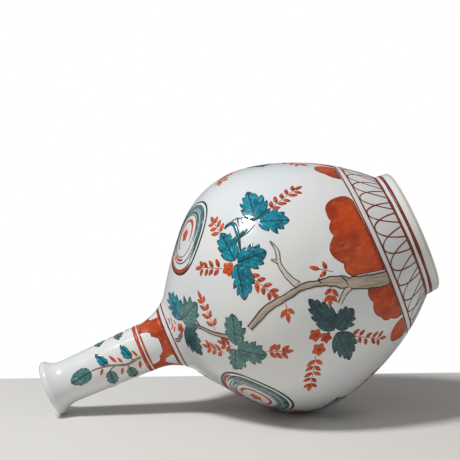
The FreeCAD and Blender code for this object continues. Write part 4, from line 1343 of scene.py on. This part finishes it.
@dataclass
class NeckPlant:
    """The leafy plant painted three times round the neck."""

    picture: Picture
    plant_low: float = 213.8
    plant_high: float = 262.0

    def on_neck(self, angle: float, s: float, repeat: int) -> Spot:
        """Return the spot of a place on the painter's grid of the neck."""
        shape, bands = self.picture.shape, self.picture.bands
        low = shape.neck_s + bands.neck_band_s + bands.neck_band_w
        share = (s - self.plant_low) / (self.plant_high - self.plant_low)
        return Spot(angle + 360 / self.picture.repeats * repeat, low + share * (shape.flare_s - low))

    def build(self) -> None:
        """Paint the plants."""
        picture, shape = self.picture, self.picture.shape
        stem = [(-106, 214.4, 0.85), (-107.9, 219, 0.8), (-110, 223.5, 0.7), (-103.3, 228.5, 0.6),
                (-97.6, 232, 0.5), (-93, 237, 0.45), (-90, 242, 0.4), (-90.3, 245, 0.35)]
        side_stems = [[(-110, 222.6, 0.4), (-114, 223.6, 0.35), (-119.6, 223.3, 0.25)],
                      [(-105, 219.4, 0.4), (-102, 219.8, 0.3), (-99.4, 219.8, 0.25)],
                      [(-98.6, 231.6, 0.35), (-94, 233.6, 0.3), (-90.2, 234.3, 0.25)],
                      [(-101, 230.4, 0.3), (-104.6, 233.6, 0.3), (-107.8, 234.8, 0.25)]]
        oval, blade, lobed = LeafForm.OVAL, LeafForm.BLADE, LeafForm.LOBED
        # These neck leaves take the teal enamel darkened to grey-green as painted shade; the two teal ones
        # lay in light.
        leaves = [((-91, 245.4), (-97.6, 259.2), 4.9, oval), ((-107.3, 235), (-154.7, 236), 3.7, lobed),
                  ((-119.3, 223.2), (-162.5, 223), 3.2, lobed)]
        teals = [((-90.7, 234.2), (-52.4, 239.5), 3.7, blade), ((-99.9, 219.6), (-57.6, 223.2), 3.7, blade)]
        buds = [((-95, 238.2), (-110.1, 241), 0.9), ((-113, 227), (-130.7, 229.4), 0.9),
                ((-113.6, 215.9), (-134.7, 217.8), 0.9), ((-95.3, 229), (-71.3, 232), 0.9),
                ((-101, 225.7), (-85, 227.6), 0.8), ((-101, 216.0), (-82.7, 218), 0.8)]
        leaf_brush, teal_brush, stem_brush, bud_brush = (Brush(shape) for _ in range(4))
        for repeat in range(picture.repeats):
            for route in (stem, *side_stems):
                spots = [self.on_neck(angle, s, repeat) for angle, s, _ in route]
                points = even(picture.run_of(spots, [half for _, _, half in route]), 0.8)
                stem_brush.stroke(spots[0], [Dab(*point) for point in points], 0.07, 0.03, 6)
            for brush, group in ((leaf_brush, leaves), (teal_brush, teals)):
                for index, (low, high, half, form) in enumerate(group):
                    picture.leaf(brush, self.on_neck(*low, repeat), self.on_neck(*high, repeat), half, form,
                                 index + 20 + 8 * repeat)
            for low, high, half in buds:
                picture.leaflet(bud_brush, self.on_neck(*low, repeat), self.on_neck(*high, repeat), half)
        teal_brush.finish("painted_neck_teal_leaves", TEAL_LEAF.build(), Slot.TEAL, "neck_teal_leaves")
        leaf_brush.finish("painted_neck_leaves", PAINTED_SHADE_TEAL_LEAF.build(), Slot.GREEN, "neck_leaves")
        stem_brush.finish("painted_neck_stems", STEM.build(), Slot.BLACK, "neck_stems")
        bud_brush.finish("painted_neck_buds", SPRIG_RED.build(), Slot.IRON_RED, "neck_buds")


@dataclass
class Studio:
    """The pale floor that the bottle lies on, soft light and the camera."""

    shape: Outline
    roll_angle: float = -7.8
    floor_half: float = 3.0
    floor_drop: float = 0.0004
    horizon_px: float = 375.0
    image_px: float = 460.0
    camera_at: tuple[float, float, float] = (0.0, -0.773594, 0.095551)
    camera_right: tuple[float, float, float] = (-0.40040544, 0.02977417, -0.91585424)
    camera_up: tuple[float, float, float] = (0.91452564, -0.0498468, -0.40144509)
    lens_mm: float = 100.0
    sensor_mm: float = 36.0

    def floor_plane(self) -> tuple[Vector, Vector]:
        """Find the plane that touches the belly and the lip.

        Returns:
            A point of the plane in metres, and the way up from it.
        """
        shape = self.shape
        across = shape.bead_c - shape.belly_c
        tilt = angle_of(across) - math.acos((shape.belly_arc - shape.bead_r) / across.length)
        turn = math.radians(self.roll_angle)
        up = Vector((math.cos(tilt) * math.cos(turn), math.cos(tilt) * math.sin(turn), -math.sin(tilt)))
        reach = (flat(tilt).dot(shape.belly_c) + shape.belly_arc) * MM
        return -up * reach, up

    def build_floor(self) -> None:
        """Make the pale floor, seen from above only, up to the line where the table ends."""
        point, up = self.floor_plane()
        right, above = Vector(self.camera_right), Vector(self.camera_up)
        ahead = above.cross(right)
        scale = self.lens_mm / self.sensor_mm * self.image_px
        ray = ahead - above * ((self.horizon_px - self.image_px / 2) / scale)
        eye = Vector(self.camera_at)
        far = eye + ray * ((point - eye).dot(up) / ray.dot(up))
        side = (right - up * right.dot(up)).normalized()
        back = up.cross(side)
        sheet = bmesh.new()
        bmesh.ops.create_grid(sheet, x_segments=2, y_segments=2, size=self.floor_half)
        axes = Matrix((side, back, up)).transposed().to_4x4()
        middle = far - back * self.floor_half - up * self.floor_drop
        bmesh.ops.transform(sheet, verts=sheet.verts, matrix=Matrix.Translation(middle) @ axes)
        data = bpy.data.meshes.new("floor")
        sheet.to_mesh(data)
        sheet.free()
        material = bpy.data.materials.new("pale_floor")
        material.use_nodes = True
        tree = material.node_tree
        tree.nodes.clear()
        matt = add(tree, "ShaderNodeBsdfPrincipled", {"Base Color": srgb("#DAD7D1"), "Roughness": 0.75,
                                                      "Specular IOR Level": 0.2})
        clear = add(tree, "ShaderNodeBsdfTransparent")
        behind = add(tree, "ShaderNodeNewGeometry").outputs["Backfacing"]
        shown = add(tree, "ShaderNodeMixShader", {0: behind, 1: matt.outputs[0], 2: clear.outputs[0]})
        add(tree, "ShaderNodeOutputMaterial", {"Surface": shown.outputs[0]})
        data.materials.append(material)
        floor = bpy.data.objects.new("floor", data)
        bpy.context.scene.collection.objects.link(floor)

    def build_world(self) -> None:
        """Light everything softly, and show white behind the bottle."""
        world = bpy.data.worlds.new("studio")
        bpy.context.scene.world = world
        world.use_nodes = True
        tree = world.node_tree
        tree.nodes.clear()
        rays = add(tree, "ShaderNodeLightPath").outputs
        seen = add(tree, "ShaderNodeMath", {0: rays["Is Camera Ray"], 1: rays["Is Transmission Ray"]},
                   operation="MAXIMUM").outputs[0]
        soft = add(tree, "ShaderNodeBackground", {"Color": srgb("#F4F6FA"), "Strength": 0.3})
        white = add(tree, "ShaderNodeBackground", {"Color": (1, 1, 1, 1), "Strength": 1.0})
        both = add(tree, "ShaderNodeMixShader", {0: seen, 1: soft.outputs[0], 2: white.outputs[0]})
        add(tree, "ShaderNodeOutputWorld", {"Surface": both.outputs[0]})

    def lamp(self, name: str, right: float, above: float, near: float, size: float, power: float,
             colour: str) -> None:
        """Hang a soft lamp, placed in metres along the picture's right, up and towards the camera."""
        axes = [Vector(self.camera_right), Vector(self.camera_up)]
        axes.append(axes[0].cross(axes[1]))
        middle = Vector((0.0, 0.0, self.shape.belly_z * MM))
        data = bpy.data.lights.new(name, "AREA")
        data.shape = "DISK"
        data.size = size
        data.energy = power
        data.color = srgb(colour)[:3]
        lamp = bpy.data.objects.new(name, data)
        lamp.location = middle + axes[0] * right + axes[1] * above + axes[2] * near
        lamp.rotation_euler = (lamp.location - middle).to_track_quat("Z", "Y").to_euler()
        bpy.context.scene.collection.objects.link(lamp)

    def build_camera(self) -> None:
        """Set the camera at the photograph's angle."""
        right, up = Vector(self.camera_right), Vector(self.camera_up)
        data = bpy.data.cameras.new("camera")
        data.lens = self.lens_mm
        data.sensor_width = self.sensor_mm
        data.clip_start = 0.01
        camera = bpy.data.objects.new("camera", data)
        axes = Matrix((right, up, right.cross(up))).transposed()
        camera.matrix_world = Matrix.Translation(self.camera_at) @ axes.to_4x4()
        bpy.context.scene.collection.objects.link(camera)
        bpy.context.scene.camera = camera

    def build(self) -> None:
        """Set the stage."""
        self.build_floor()
        self.build_world()
        self.lamp("key", -0.564, 0.989, 0.42, 0.26, 12.5, "#FCFDFF")
        self.lamp("fill", 0.9, 0.35, 0.9, 0.9, 1.2, "#FFF6EC")
        self.build_camera()
        bpy.context.scene.view_settings.view_transform = "Standard"


def main() -> None:
    """Build the bottle's looks around the frame, and set the stage."""
    logging.basicConfig(level=logging.INFO, format="%(name)s: %(message)s")
    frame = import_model()
    shape = Outline()
    GlazeCoats(shape).build(frame["nodes"])
    Bands(shape).build()
    picture = Picture(shape)
    picture.build()
    Roundels(picture).build()
    NeckPlant(picture).build()
    Studio(shape).build()


if __name__ == "__main__":
    main()
